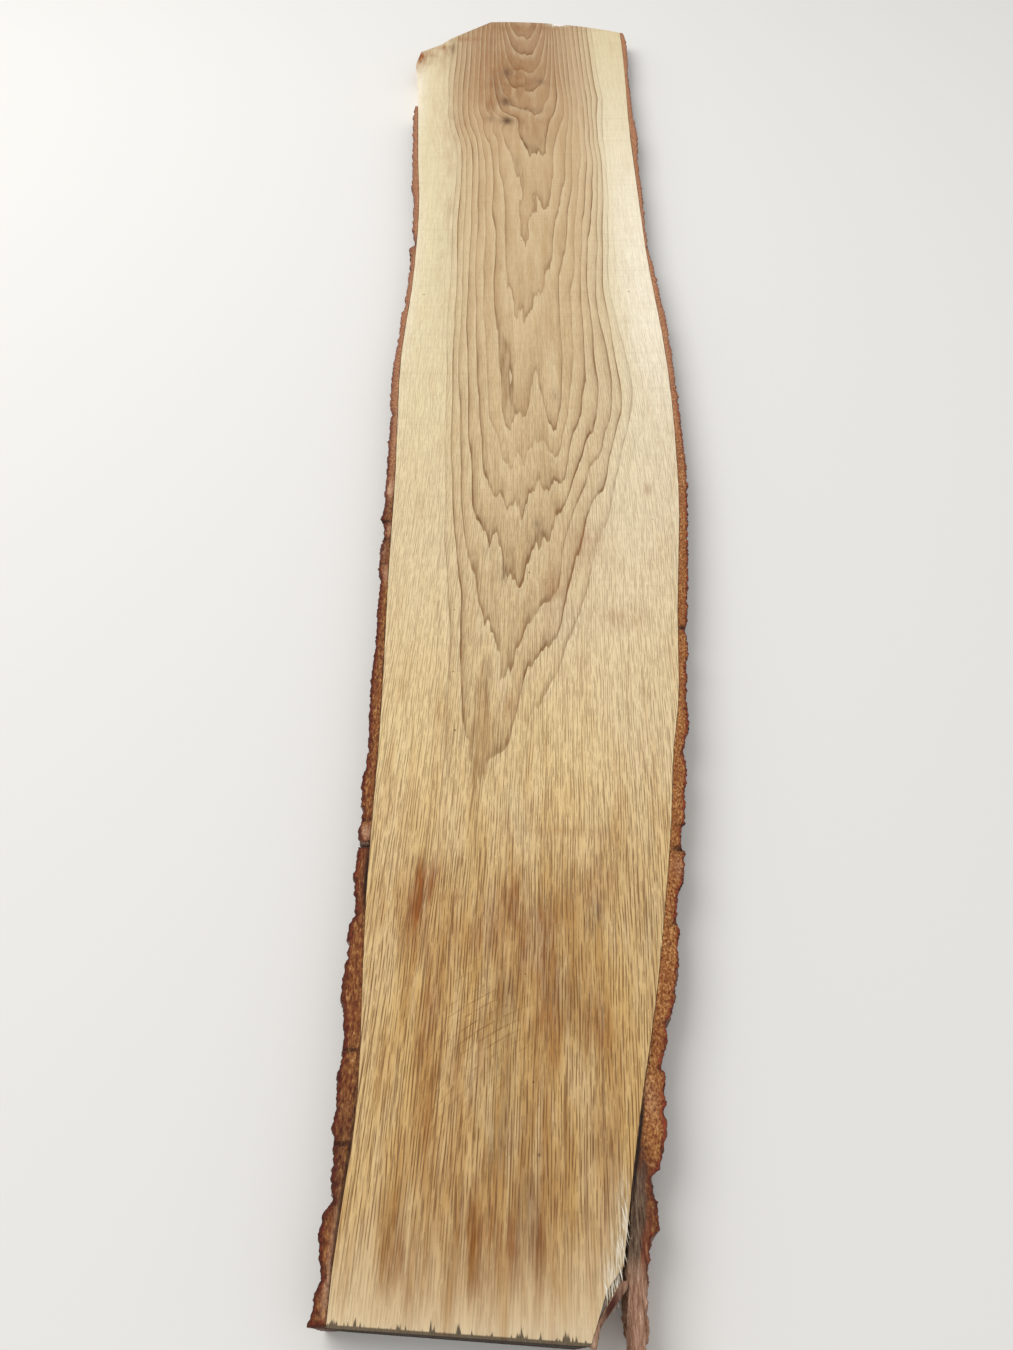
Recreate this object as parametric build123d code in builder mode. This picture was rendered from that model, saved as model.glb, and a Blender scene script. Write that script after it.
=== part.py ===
"""A live-edge oak board, sawn through a tapering butt log, with the bark left on both long edges.

All sizes are in millimetres. Z is up from the sawn underside. Y runs along the board from the
narrow end, at minus half the length, to the butt. X runs across it from the snap line, which
halves the butt end. The origin is the middle of the snap line, on the underside.
"""

from build123d import *
import os

# The board
length = 2400.0
thickness = 34.0
near_end = -length / 2

# The log was widest above this board, so its waney sides lean in towards the underside
undercut_left = 6.0
undercut_right = 8.0

# Offsets of the top face's left edge: thousandths of the length from the narrow end, and width
# left of the snap line
left_offsets = [
    (0, 145.0),
    (25, 143.0),
    (56, 138.5),
    (83, 141.0),
    (125, 146.5),
    (183, 148.5),
    (233, 152.0),
    (292, 157.5),
    (354, 161.5),
    (417, 168.5),
    (467, 171.5),
    (517, 168.5),
    (588, 168.5),
    (646, 172.5),
    (708, 182.5),
    (771, 191.0),
    (833, 200.5),
]
left_butt = 213.0

# Offsets of the right edge, from where the torn corner ends
right_tear = 52.0
tear_start = 59.0
right_offsets = [
    (42, 60.0),
    (63, 71.0),
    (83, 82.5),
    (100, 91.0),
    (125, 102.0),
    (156, 114.5),
    (192, 126.5),
    (208, 134.0),
    (250, 145.0),
    (292, 157.0),
    (333, 168.5),
    (375, 176.0),
    (417, 181.5),
    (508, 184.5),
    (563, 183.0),
    (625, 185.0),
    (675, 188.0),
    (729, 190.5),
    (792, 195.5),
    (854, 202.5),
    (917, 208.5),
]
right_butt = 212.0

# The butt end is a crowned saw cut with its left corner taken off at a slant
butt_corner_left = 246.0
butt_corner_right = 65.0
crown_left = 64.0
crown_right = 70.0
crown_drop = 10.0
slant_shoulder = 206.0
slant_shoulder_setback = 178.0
slant_middle = 166.0
slant_middle_setback = 136.0
slant_knee = 145.0
slant_knee_setback = 98.0

# The narrow end is a cut slightly out of square both ways, with its right corner torn away
near_skew = 10.0
near_rake = 2.0
near_corner_right = 23.0
tear_root = 34.0
tear_root_width = 47.0
tear_middle = 20.0
tear_middle_width = 35.0
tear_tip = 2.0
tear_tip_width = 28.0

# The left bark's ragged outside: thousandths of the length, and width of its sawn face
left_near_bark = [
    (0, 12.5),
    (8, 10.5),
    (11, 7.5),
    (15, 10.5),
    (21, 13.5),
    (27, 13.5),
    (31, 8.5),
    (38, 12.0),
    (47, 14.0),
    (50, 17.0),
    (57, 15.5),
    (63, 17.0),
    (78, 13.0),
    (83, 14.0),
    (91, 17.5),
    (104, 14.0),
    (115, 12.5),
    (119, 9.0),
    (125, 10.5),
    (135, 13.0),
    (147, 10.0),
]
left_far_bark = [
    (147, 10.0),
    (149, 10.5),
    (153, 13.0),
    (157, 10.5),
    (167, 13.0),
    (175, 14.0),
    (181, 10.5),
    (198, 11.5),
    (213, 13.0),
    (229, 12.0),
    (240, 10.5),
    (271, 10.0),
    (281, 9.5),
    (292, 12.5),
    (304, 11.5),
    (310, 9.0),
    (319, 9.5),
    (323, 13.0),
    (333, 11.5),
    (375, 11.0),
    (400, 10.0),
    (405, 7.5),
    (409, 9.5),
    (417, 11.5),
    (450, 11.0),
    (479, 7.5),
    (504, 10.5),
    (509, 7.5),
    (563, 7.0),
    (582, 12.0),
    (588, 3.5),
    (594, 5.0),
    (608, 9.5),
    (646, 9.5),
    (672, 13.0),
    (692, 11.0),
    (792, 10.0),
    (810, 6.5),
]

# The left bark is broken through once, under a knob
break_gap = 3.0

# The right bark's outside, from past the loose tail
right_bark = [
    (36, 14.0),
    (39, 18.5),
    (43, 21.0),
    (47, 21.0),
    (57, 17.5),
    (65, 16.0),
    (68, 12.0),
    (78, 14.0),
    (82, 11.0),
    (85, 15.0),
    (94, 16.0),
    (100, 16.0),
    (115, 14.5),
    (117, 11.0),
    (128, 11.5),
    (132, 15.0),
    (144, 15.0),
    (146, 11.0),
    (154, 11.0),
    (156, 14.0),
    (167, 12.0),
    (178, 14.0),
    (187, 10.0),
    (198, 13.0),
    (210, 9.5),
    (229, 8.5),
    (241, 11.5),
    (251, 9.0),
    (261, 11.0),
    (292, 11.5),
    (313, 11.0),
    (333, 10.5),
    (363, 12.0),
    (392, 9.5),
    (458, 9.5),
    (508, 9.5),
    (558, 8.5),
    (583, 5.0),
    (604, 5.5),
    (646, 7.5),
    (667, 8.5),
    (708, 8.5),
    (729, 11.5),
    (750, 14.0),
    (771, 12.5),
    (792, 10.0),
    (833, 9.0),
    (875, 7.5),
    (896, 9.5),
    (917, 10.5),
    (958, 11.5),
]
right_bark_end_width = 6.5

# Past the torn corner the right bark has sprung off the wood and runs on as a loose tail. Its
# outside: distance from the narrow end, and width outside the crotch of the tear
peel_start = 96.0
peel_gap = 2.5
peel_seat = 1.0
tail_inner_width = 2.5
tail_curl = 4.0
tail_outside = [
    (-44.0, 9.0),
    (-10.0, 11.5),
    (12.0, 14.0),
    (38.0, 18.0),
    (50.0, 21.0),
    (57.0, 27.5),
    (69.0, 27.0),
]

# A thin sliver of bark bridges the torn corner, level with the top face
sliver_depth = 6.0
sliver_width = 2.2
sliver_foot_width = 4.0
sliver_foot_overrun = 2.0
sliver_head = 8.0
sliver_head_length = 4.0
sliver_seat = 1.5


def along(station):
    """Y of a station, given in thousandths of the length from the narrow end."""
    return near_end + length * station / 1000


def from_near(distance):
    """Y of a point at a distance from the narrow end."""
    return near_end + distance


def from_butt(distance):
    """Y of a point at a distance back from the crown of the butt."""
    return near_end + length - distance


levels = [(thickness, 0.0), (0.0, 1.0)]


def raked(y, lean):
    """Y, moved in by a share of the rake where it lies on the narrow end's cut."""
    return y + lean * near_rake if y <= from_near(0.0) else y


def left_at(points, lean):
    """Points of the left side, moved in by a share of the side's undercut."""
    return [(x + lean * undercut_left, raked(y, lean)) for x, y in points]


def right_at(points, lean):
    """Points of the right side, moved in by a share of the side's undercut."""
    return [(x - lean * undercut_right, raked(y, lean)) for x, y in points]


left_side = [(-width, along(station)) for station, width in left_offsets]
left_side.append((-left_butt, from_butt(butt_corner_left)))
right_side = [(right_tear, from_near(tear_start))]
right_side += [(width, along(station)) for station, width in right_offsets]
right_side.append((right_butt, from_butt(butt_corner_right)))
tear = [
    (right_tear, from_near(tear_start)),
    (tear_root_width, from_near(tear_root)),
    (tear_middle_width, from_near(tear_middle)),
    (tear_tip_width, from_near(tear_tip)),
    (near_corner_right, from_near(-near_skew)),
]

slant = [
    (-slant_shoulder, from_butt(slant_shoulder_setback)),
    (-slant_middle, from_butt(slant_middle_setback)),
    (-slant_knee, from_butt(slant_knee_setback)),
    (-crown_left, from_butt(0.0)),
]

# The sawn board: its top face and its narrower underside, joined by the waney sides
with BuildPart() as board:
    for height, lean in levels:
        left = left_at(left_side, lean)
        right = right_at(right_side, lean)
        torn = right_at(tear, lean)
        with BuildSketch(Plane.XY.offset(height)):
            with BuildLine():
                Spline(*left)
                Polyline(left[-1], *slant)
                ThreePointArc(
                    (-crown_left, from_butt(0.0)),
                    (crown_right, from_butt(crown_drop)),
                    right[-1],
                )
                Spline(*reversed(right))
                Polyline(*torn)
                Line(torn[-1], left[0])
            make_face()
    loft(ruled=True)
board.part.label = "board"

left_curve = Spline(*left_side)
right_curve = Spline(*right_side)


def across(curve, y):
    """X of a side's curve at y, found by halving the stretch that holds it."""
    low = 0.0
    high = 1.0
    for _ in range(24):
        middle = (low + high) / 2
        if (curve @ middle).Y < y:
            low = middle
        else:
            high = middle
    return (curve @ high).X


def outside(curve, side, places):
    """Points on the bark's outside, from stations along the board and widths out from the wood."""
    return [(across(curve, along(station)) + side * width, along(station)) for station, width in places]


def back_to_snap_line(points):
    """Closes a bark outline over the wood, which cuts it back to its own face."""
    return [*points, (0.0, points[-1][1]), (0.0, points[0][1]), points[0]]


left_near_outer = outside(left_curve, -1, left_near_bark)
broken_x, broken_y = left_near_outer.pop()
left_near_outer.append((broken_x, broken_y - break_gap))
left_far_outer = outside(left_curve, -1, left_far_bark)

# The left bark, from its broken end at the knob to where it has fallen away near the butt
with BuildPart() as bark_left_far:
    for height, lean in levels:
        with BuildSketch(Plane.XY.offset(height)):
            with BuildLine():
                Polyline(*back_to_snap_line(left_at(left_far_outer, lean)))
            make_face()
    loft(ruled=True)
    add(board.part, mode=Mode.SUBTRACT)
bark_left_far.part.label = "bark_left_far"

# The left bark's short stretch at the narrow end
with BuildPart() as bark_left_near:
    for height, lean in levels:
        with BuildSketch(Plane.XY.offset(height)):
            with BuildLine():
                Polyline(*back_to_snap_line(left_at(left_near_outer, lean)))
            make_face()
    loft(ruled=True)
    add(board.part, mode=Mode.SUBTRACT)
bark_left_near.part.label = "bark_left_near"

peel_x = across(right_curve, from_near(peel_start))
tail_inner = [
    (peel_x - peel_seat, from_near(peel_start)),
    (right_tear + peel_gap, from_near(tear_start)),
    (tear_root_width + peel_gap, from_near(tear_root)),
    (tear_root_width + tail_inner_width, from_near(-near_skew)),
    (tear_root_width + tail_inner_width, from_near(tail_outside[0][0])),
]
tail_outer = [(tear_root_width + width, from_near(distance)) for distance, width in tail_outside]


def tail_at(points, lean):
    """Points of the loose tail: it curls outwards at its tip, and leans in with the side at its root."""
    tip = tail_outer[0][1]
    root = from_near(peel_start)
    shifts = [tail_curl - (tail_curl + undercut_right) * (y - tip) / (root - tip) for _, y in points]
    return [(x + lean * shift, y) for (x, y), shift in zip(points, shifts)]


right_outer = outside(right_curve, 1, right_bark)
right_outer.append((right_butt + right_bark_end_width, from_butt(butt_corner_right)))

# The right bark, with its loose tail past the torn corner
with BuildPart() as bark_right_strip:
    for height, lean in levels:
        with BuildSketch(Plane.XY.offset(height)):
            with BuildLine():
                tail = tail_at([*tail_inner, *tail_outer], lean)
                Polyline(
                    *tail,
                    *right_at(right_outer, lean),
                    (0.0, from_butt(butt_corner_right)),
                    (0.0, from_near(peel_start)),
                    tail[0],
                )
            make_face()
    loft(ruled=True)
    add(board.part, mode=Mode.SUBTRACT)
bark_right_strip.part.label = "bark_right"

sliver_path = [
    (tear_root_width - sliver_seat, from_near(tear_root - sliver_head)),
    (tear_tip_width, from_near(tear_tip)),
    (near_corner_right, from_near(-near_skew)),
]
sliver_outer = [
    (near_corner_right + sliver_foot_width, from_near(-near_skew - sliver_foot_overrun)),
    (tear_tip_width + sliver_width, from_near(0.0)),
    (tear_root_width + peel_gap, from_near(tear_root - sliver_head - sliver_head_length)),
    (tear_root_width + peel_gap, from_near(tear_root - sliver_head)),
]

# The sliver of bark that bridges the torn corner, from the crotch to the end of the board
with BuildPart() as bark_sliver:
    for height, lean in [(thickness, 0.0), (thickness - sliver_depth, sliver_depth / thickness)]:
        with BuildSketch(Plane.XY.offset(height)):
            with BuildLine():
                Polyline(*right_at([*sliver_path, *sliver_outer, sliver_path[0]], lean))
            make_face()
    loft(ruled=True)
    add(board.part, mode=Mode.SUBTRACT)
    add(bark_right_strip.part, mode=Mode.SUBTRACT)
bark_sliver.part.label = "bark_sliver"

os.makedirs("parts", exist_ok=True)
export_step(board.part, "parts/board.step")
export_step(bark_left_far.part, "parts/bark_left_far.step")
export_step(bark_left_near.part, "parts/bark_left_near.step")
export_step(bark_right_strip.part, "parts/bark_right.step")
export_step(bark_sliver.part, "parts/bark_sliver.step")
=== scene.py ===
"""A live-edge oak board with its bark on, laid flat on a plain floor.

Run as a script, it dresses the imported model: the sawn wood, the bark on both long edges and a
stage with the camera at the photograph's viewing angle. Sizes in the comments are millimetres.
"""

import math
import random

import bmesh
import bpy
import numpy as np
from bpy.props import FloatProperty, FloatVectorProperty, IntProperty, PointerProperty
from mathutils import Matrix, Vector
from mathutils.bvhtree import BVHTree


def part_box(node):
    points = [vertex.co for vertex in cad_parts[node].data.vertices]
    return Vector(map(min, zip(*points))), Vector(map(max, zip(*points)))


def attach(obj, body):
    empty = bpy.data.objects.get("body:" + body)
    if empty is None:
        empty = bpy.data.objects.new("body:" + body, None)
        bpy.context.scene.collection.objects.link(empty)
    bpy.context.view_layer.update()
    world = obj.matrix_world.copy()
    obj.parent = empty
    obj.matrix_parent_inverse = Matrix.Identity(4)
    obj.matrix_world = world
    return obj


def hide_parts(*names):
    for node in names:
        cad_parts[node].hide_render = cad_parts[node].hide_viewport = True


bl_info = {
    "name": "Live-edge oak board",
    "version": (1, 0, 0),
    "blender": (4, 5, 0),
    "location": "View3D > Sidebar > Oak board",
    "description": "Dresses a live-edge oak board: sawn face, growth rings, stains and bark",
    "category": "Object",
}

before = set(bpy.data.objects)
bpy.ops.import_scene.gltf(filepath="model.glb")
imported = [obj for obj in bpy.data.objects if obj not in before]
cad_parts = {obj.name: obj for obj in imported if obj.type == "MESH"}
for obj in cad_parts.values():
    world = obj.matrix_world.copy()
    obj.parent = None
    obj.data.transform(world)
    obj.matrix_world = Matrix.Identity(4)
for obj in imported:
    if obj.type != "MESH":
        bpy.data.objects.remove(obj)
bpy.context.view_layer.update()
board_low, board_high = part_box("board")
TOP = board_high.z
NEAR_END = -1.2
MM = 0.001
# The near cut is 10 mm out of square over its 168 mm: where it crosses the snap line, and its slope
NEAR_CUT_MIDDLE = NEAR_END - 0.0086
NEAR_CUT_SLOPE = 0.0595
THICKNESS_STEP = 0.0085
BREAK_DEPTH = 0.003
STRANDS = 34
PICTURE_HEIGHT = 1350


def linear(hex_colour):
    """The linear colour, with alpha 1, of an sRGB hex value such as 'C9AE86'."""
    channels = [int(hex_colour[i:i + 2], 16) / 255 for i in (0, 2, 4)]
    return (*[c / 12.92 if c <= 0.04045 else ((c + 0.055) / 1.055) ** 2.4 for c in channels], 1.0)


def per_mm(*sizes):
    """The scale that makes one step of a pattern as large as these sizes in millimetres."""
    return tuple(1000.0 / size for size in sizes)


def add_node(tree, kind, inputs=None, stops=(), **settings):
    """Adds a node with its settings. An input that is a socket is linked, any other is a value.

    A ramp's stops are pairs of a position and an sRGB hex colour or a grey value. A Mix node's
    colours are its inputs 6 and 7 and its output 2. A MapRange is linear unless it says otherwise.
    """
    node = tree.nodes.new("ShaderNode" + kind)
    for name, value in settings.items():
        setattr(node, name, value)
    for key, value in (inputs or {}).items():
        if isinstance(value, bpy.types.NodeSocket):
            tree.links.new(value, node.inputs[key])
        else:
            node.inputs[key].default_value = value
    if stops:
        elements = node.color_ramp.elements
        while len(elements) < len(stops):
            elements.new(1.0)
        for element, (position, colour) in zip(elements, stops):
            element.position = position
            element.color = linear(colour) if isinstance(colour, str) else (colour, colour, colour, 1.0)
    return node


class WoodSettings(bpy.types.PropertyGroup):
    """Sizes and colours of the sawn oak."""

    pith_depth: FloatProperty(
        name="Pith depth", description="How far the pith of the log lies under the sawn face",
        default=0.167, unit="LENGTH")
    ring_width: FloatProperty(
        name="Ring width", description="Width of one year's growth", default=0.0035, unit="LENGTH")
    face_step: FloatProperty(
        name="Face step", description="Spacing of the mesh on the sawn faces", default=0.008, unit="LENGTH")
    heartwood: FloatVectorProperty(
        name="Heartwood", description="Darker brown bands in the heartwood", subtype="COLOR", size=4,
        default=linear("B08C5E"), min=0, max=1)
    latewood: FloatVectorProperty(
        name="Latewood", description="Dark edge of a growth ring", subtype="COLOR", size=4,
        default=linear("84603A"), min=0, max=1)
    pore: FloatVectorProperty(
        name="Pores", description="Open pores cut lengthwise", subtype="COLOR", size=4,
        default=linear("6B3F1A"), min=0, max=1)
    stain: FloatVectorProperty(
        name="Stain", description="Warm brown stain in the sapwood", subtype="COLOR", size=4,
        default=linear("90501A"), min=0, max=1)
    smudge: FloatVectorProperty(
        name="Smudge", description="Grey weathering", subtype="COLOR", size=4,
        default=linear("7D6E58"), min=0, max=1)


class BarkSettings(bpy.types.PropertyGroup):
    """Sizes and colours of the bark."""

    grid: FloatProperty(
        name="Grid", description="Spacing of the bark's mesh", default=0.0017, unit="LENGTH")
    ridge_height: FloatProperty(
        name="Ridge height", description="How far the bark's plates stand out", default=0.0045, unit="LENGTH")
    plate_length: FloatProperty(
        name="Plate length", description="Length of a bark plate along the log", default=0.017, unit="LENGTH")
    plate_width: FloatProperty(
        name="Plate width", description="Width of a bark plate round the log", default=0.012, unit="LENGTH")
    cut_lanes: FloatVectorProperty(
        name="Sawn lanes", description="Red brown lanes in the sawn bark", subtype="COLOR", size=4,
        default=linear("7C3A1A"), min=0, max=1)
    red_rim: FloatVectorProperty(
        name="Outer rim", description="Dark red of the sawn bark's outer rim", subtype="COLOR", size=4,
        default=linear("8E3E28"), min=0, max=1)


class StageSettings(bpy.types.PropertyGroup):
    """The camera's place over the board, and the floor."""

    camera_height: FloatProperty(
        name="Camera height", description="Height of the lens over the sawn face",
        default=0.755, unit="LENGTH")
    camera_back: FloatProperty(
        name="Camera set-back", description="Distance from the narrow end to under the lens",
        default=0.0908, unit="LENGTH")
    camera_side: FloatProperty(
        name="Camera offset", description="Sideways place of the lens", default=-0.030, unit="LENGTH")
    camera_tilt: FloatProperty(
        name="Camera tilt", description="Tilt below the horizon", default=math.radians(50.0), unit="ROTATION")
    focal_pixels: IntProperty(
        name="Focal length", description="Focal length in pixels of the 1013 by 1350 picture", default=1000)
    floor_colour: FloatVectorProperty(
        name="Floor", description="Pale floor", subtype="COLOR", size=4,
        default=linear("E4E2DE"), min=0, max=1)


def deselect_all():
    """Leaves edit mode and selects nothing, so that the next operator acts on its own piece alone."""
    if bpy.context.object and bpy.context.object.mode != "OBJECT":
        bpy.ops.object.mode_set(mode="OBJECT")
    bpy.ops.object.select_all(action="DESELECT")


def copy_of_node(node, name):
    """A merged copy of a CAD node's mesh, as the active object."""
    deselect_all()
    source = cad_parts[node]
    piece = bpy.data.objects.new(name, source.data.copy())
    piece.data.materials.clear()
    bpy.context.collection.objects.link(piece)
    bpy.context.view_layer.objects.active = piece
    piece.select_set(True)
    bpy.ops.object.mode_set(mode="EDIT")
    bpy.ops.mesh.select_all(action="SELECT")
    bpy.ops.mesh.remove_doubles(threshold=0.00001)
    bpy.ops.mesh.dissolve_limited(angle_limit=math.radians(0.5))
    bpy.ops.object.mode_set(mode="OBJECT")
    return piece


def coordinates(piece):
    """The piece's vertices as an array of rows, in metres."""
    values = np.zeros(len(piece.data.vertices) * 3, np.float32)
    piece.data.vertices.foreach_get("co", values)
    return values.reshape(-1, 3).astype(float)


def store(piece, name, values):
    """Keeps one number, or one vector, for each vertex under a name that a material can read."""
    kind = "FLOAT" if values.ndim == 1 else "FLOAT_VECTOR"
    attribute = piece.data.attributes.new(name, kind, "POINT")
    attribute.data.foreach_set("value" if kind == "FLOAT" else "vector", values.astype(np.float32).ravel())


def apply_modifier(piece, kind, **settings):
    """Adds a modifier with its settings and applies it to the piece's mesh."""
    modifier = piece.modifiers.new(kind.title(), kind)
    for name, value in settings.items():
        setattr(modifier, name, value)
    bpy.context.view_layer.objects.active = piece
    bpy.ops.object.modifier_apply(modifier=modifier.name)


def eased(positions, knots, values, reach):
    """A run of straight lines through given values, rounded off at its knots over a reach."""
    shifts = np.linspace(-reach, reach, 9)
    return np.mean([np.interp(positions + shift, knots, values) for shift in shifts], axis=0)


def ring_number(points, depth, width):
    """Growth ring at each point: 0 where heartwood ends, below it inside, above it in the sapwood.

    The rings are cones round a bent pith under the face. What they do on the middle line is set
    by where each ring's tip comes out on the face, in mm from the narrow end, and the rings on
    its two sides are wider or narrower than the width given.
    """
    x = points[:, 0] / MM
    y = (points[:, 1] - NEAR_END) / MM
    z = (points[:, 2] - TOP) / MM
    tips = [0, 440, 556, 674, 785, 885, 974, 1200, 1480, 1754, 1911, 2021, 2108, 2200, 2300, 2400]
    rings = [3.6, 0, -1, -2, -3, -4, -5, -6, -7, -8, -9, -10, -11, -12, -13, -14]
    middle = eased(y, tips, rings, 25)
    pith = eased(y, [0, 440, 600, 800, 974, 1250, 1754, 2021, 2400],
                 [-70, -52, -36, -29, -19, -6, 20, 8, 9], 60)
    left = eased(y, [0, 1000, 1250, 1640, 1970, 2350], [1.0, 1.0, 1.25, 1.45, 1.75, 1.35], 60)
    right = eased(y, [0, 440, 560, 700, 1000, 1250, 1640, 1970, 2350],
                  [1.2, 1.2, 1.6, 2.6, 2.7, 1.7, 1.4, 1.15, 1.1], 50)
    across = np.where(x < pith, left, right) * width / MM
    number = middle + (np.hypot(x - pith, z + depth / MM) - depth / MM) / across
    # Towards the butt the rings close up into nested arcs between two upright flanks
    side = np.abs(x - pith) / np.where(x < pith, 66.0, 62.0)
    arcs = np.where(side < 1.0, middle - (7.6 + middle) * side ** 2.6, -7.6 + (side - 1.0) * 6.6)
    number += (arcs - number) * np.clip((y - 1800.0) / 180.0, 0.0, 1.0)
    # The log's flutes give the rings a second lobe and forked tips, and knots push them aside
    for at_x, at_y, wide, tall, rise in [
        (34, 1010, 17, 150, -1.15), (38, 860, 16, 60, -0.55), (6, 1060, 12, 170, 0.45),
        (60, 760, 20, 70, 0.4),
        (-50, 640, 8, 60, -0.2), (-43, 690, 5, 50, 0.45), (-33, 690, 6, 60, -0.1),
        (-47, 560, 6, 40, 0.45), (-58, 575, 7, 40, -0.1), (-33, 540, 8, 40, 0.05), (-10, 500, 12, 60, 0.35),
        (-31, 1879, 12, 30, 0.9), (-58, 1884, 9, 26, 0.5), (-33, 1972, 10, 22, 0.6), (12, 1750, 9, 50, -0.4),
        (-22, 1880, 60, 30, 0.35),
    ]:
        number += rise * np.exp(-((x - at_x) / wide) ** 2 - ((y - at_y) / tall) ** 2)
    return number


def spots(points, places):
    """Soft patches: each place is x and y in mm from the narrow end, half sizes and a strength."""
    x = points[:, 0] / MM
    y = (points[:, 1] - NEAR_END) / MM
    total = np.zeros(len(points))
    for at_x, at_y, wide, tall, strength in places:
        total += strength * np.exp(-((x - at_x) / wide) ** 2 - ((y - at_y) / tall) ** 2)
    return total


STAINS = [
    (-98, 326, 15, 15, 0.55), (-101, 302, 16, 18, 0.6), (-106, 274, 12, 26, 0.55), (-76, 302, 14, 5, 0.3),
    (-28, 306, 13, 15, 0.7), (-22, 280, 12, 17, 0.5), (-40, 288, 12, 12, 0.25), (-18, 268, 24, 24, 0.35),
    (-58, 266, 25, 14, 0.3), (3, 288, 10, 12, 0.35), (35, 326, 14, 14, 0.3), (42, 300, 14, 14, 0.25),
    (58, 330, 14, 30, 0.3), (30, 296, 16, 20, 0.2), (-8, 226, 8, 32, 0.35), (1, 206, 9, 34, 0.3),
    (-90, 226, 10, 34, 0.35), (-88, 170, 10, 45, 0.3), (-90, 110, 12, 40, 0.25), (-62, 150, 14, 44, 0.2),
    (-20, 62, 14, 30, 0.2), (-30, 44, 10, 16, 0.3), (0, 140, 7, 60, 0.25), (40, 190, 10, 22, 0.25),
    (-98, 38, 10, 20, 0.3), (-45, 52, 9, 22, 0.2), (20, 367, 28, 4, 0.25), (52, 362, 14, 5, 0.2),
    (58, 735, 24, 34, 0.25), (20, 655, 16, 40, 0.25), (-54, 470, 12, 26, 0.15), (-28, 505, 10, 16, 0.3),
    (134, 826, 5, 12, 0.35), (88, 620, 16, 12, 0.3), (114, 628, 6, 14, 0.25), (-88, 480, 10, 60, 0.15),
    (-205, 2165, 13, 44, 0.6), (-196, 2208, 20, 26, 0.6), (-172, 2250, 24, 16, 0.6),
    (-120, 2296, 40, 14, 0.4), (-130, 1900, 34, 260, 0.16), (-66, 2150, 18, 220, 0.2),
]
DUSK = [
    (-30, 170, 80, 170, 0.3), (-50, 60, 18, 46, 0.25), (-28, 60, 12, 46, 0.25), (-10, 75, 10, 40, 0.2),
    (6, 80, 8, 36, 0.2), (-4, 245, 26, 50, 0.35), (26, 272, 22, 36, 0.2), (-86, 180, 14, 46, 0.12),
    (-108, 66, 12, 44, 0.2), (-92, 32, 11, 20, 0.3), (42, 200, 24, 50, 0.2), (40, 95, 12, 50, 0.22),
    (14, 140, 14, 50, 0.2), (-30, 222, 9, 26, 0.3), (45, 100, 14, 60, 0.1), (-14, 2080, 52, 170, 0.45),
    (-20, 2370, 160, 30, 0.3), (-62, 1950, 14, 90, 0.25), (20, 1860, 40, 60, 0.25), (-56, 45, 12, 36, 0.3),
    (-104, 42, 10, 36, 0.25), (-9, 40, 12, 30, 0.2), (-60, 40, 100, 30, 0.1), (56, 50, 10, 24, 0.15),
    (-152, 2220, 14, 130, 0.3), (-122, 1520, 15, 300, 0.18), (-184, 2180, 16, 30, 0.3),
    (168, 860, 20, 160, 0.08),
]
SMUDGES = [
    (-30, 216, 6, 22, 0.4), (-35, 168, 8, 24, 0.3), (5, 216, 4, 14, 0.35), (-32, 126, 8, 22, 0.35),
    (-38, 108, 8, 14, 0.3), (44, 292, 2.6, 12, 0.8), (37, 276, 2.6, 10, 0.6), (72, 322, 3, 8, 0.35),
    (56, 363, 5, 3, 0.5), (88, 280, 14, 60, 0.2), (-10, 290, 30, 20, 0.12), (22, 200, 5, 30, 0.25),
    (36, 2062, 9, 12, 0.4), (-16, 66, 9, 26, 0.35), (-33, 690, 6, 22, 0.45), (-50, 718, 5, 10, 0.3),
    (4, 768, 5, 7, 0.45), (34, 1012, 6, 14, 0.3), (34, 1090, 3, 3, 1.0), (-130, 1890, 4, 4, 0.5),
]
PALE = [
    (172, 1270, 44, 560, 0.9), (100, 700, 60, 300, 0.5), (-132, 250, 14, 200, 0.45), (-75, 360, 8, 40, 0.5),
    (-15, 352, 22, 22, 0.35), (-70, 190, 5, 80, 0.4), (-36, 232, 6, 20, 0.35), (-76, 95, 8, 50, 0.35),
    (82, 235, 12, 70, 0.4), (-40, 6, 110, 8, 0.3), (22, 628, 14, 34, 0.6), (30, 600, 40, 60, 0.25),
    (-22, 390, 16, 30, 0.35), (40, 110, 8, 60, 0.3), (-52, 100, 6, 60, 0.25), (100, 460, 40, 80, 0.35),
    (-110, 20, 20, 20, 0.3), (-20, 800, 14, 20, 0.3), (-205, 2050, 12, 90, 0.5), (-200, 1900, 16, 240, 0.6),
    (-172, 1300, 14, 300, 0.4),
]
ARCS = [(-48, 195, 30, 42, 1.0), (-70, 130, 18, 24, 0.5)]
TORN = [(50, 62, 4, 22, 1.0), (45, 42, 5, 12, 1.0), (38, 29, 6, 8, 0.8), (83, 2384, 20, 11, 2.4)]
KNOTS = [
    (-29, 1876, 10, 15, 1.4), (-59, 1884, 8, 12, 0.45), (-31, 1967, 9, 17, 1.15), (-28, 1950, 14, 8, 0.4),
    (-29, 2110, 8, 24, 0.95), (-44, 2010, 8, 30, 0.35), (-55, 2070, 7, 40, 0.3), (-10, 2050, 30, 10, 0.2),
    (36, 2062, 8, 12, 0.5), (12, 1760, 9, 14, 0.35), (40, 1800, 14, 26, 0.2), (20, 1925, 30, 14, 0.25),
    (-141, 2245, 5, 34, 0.9), (-62, 2280, 4, 50, 0.3), (-12, 1700, 6, 30, 0.3),
]


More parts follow.
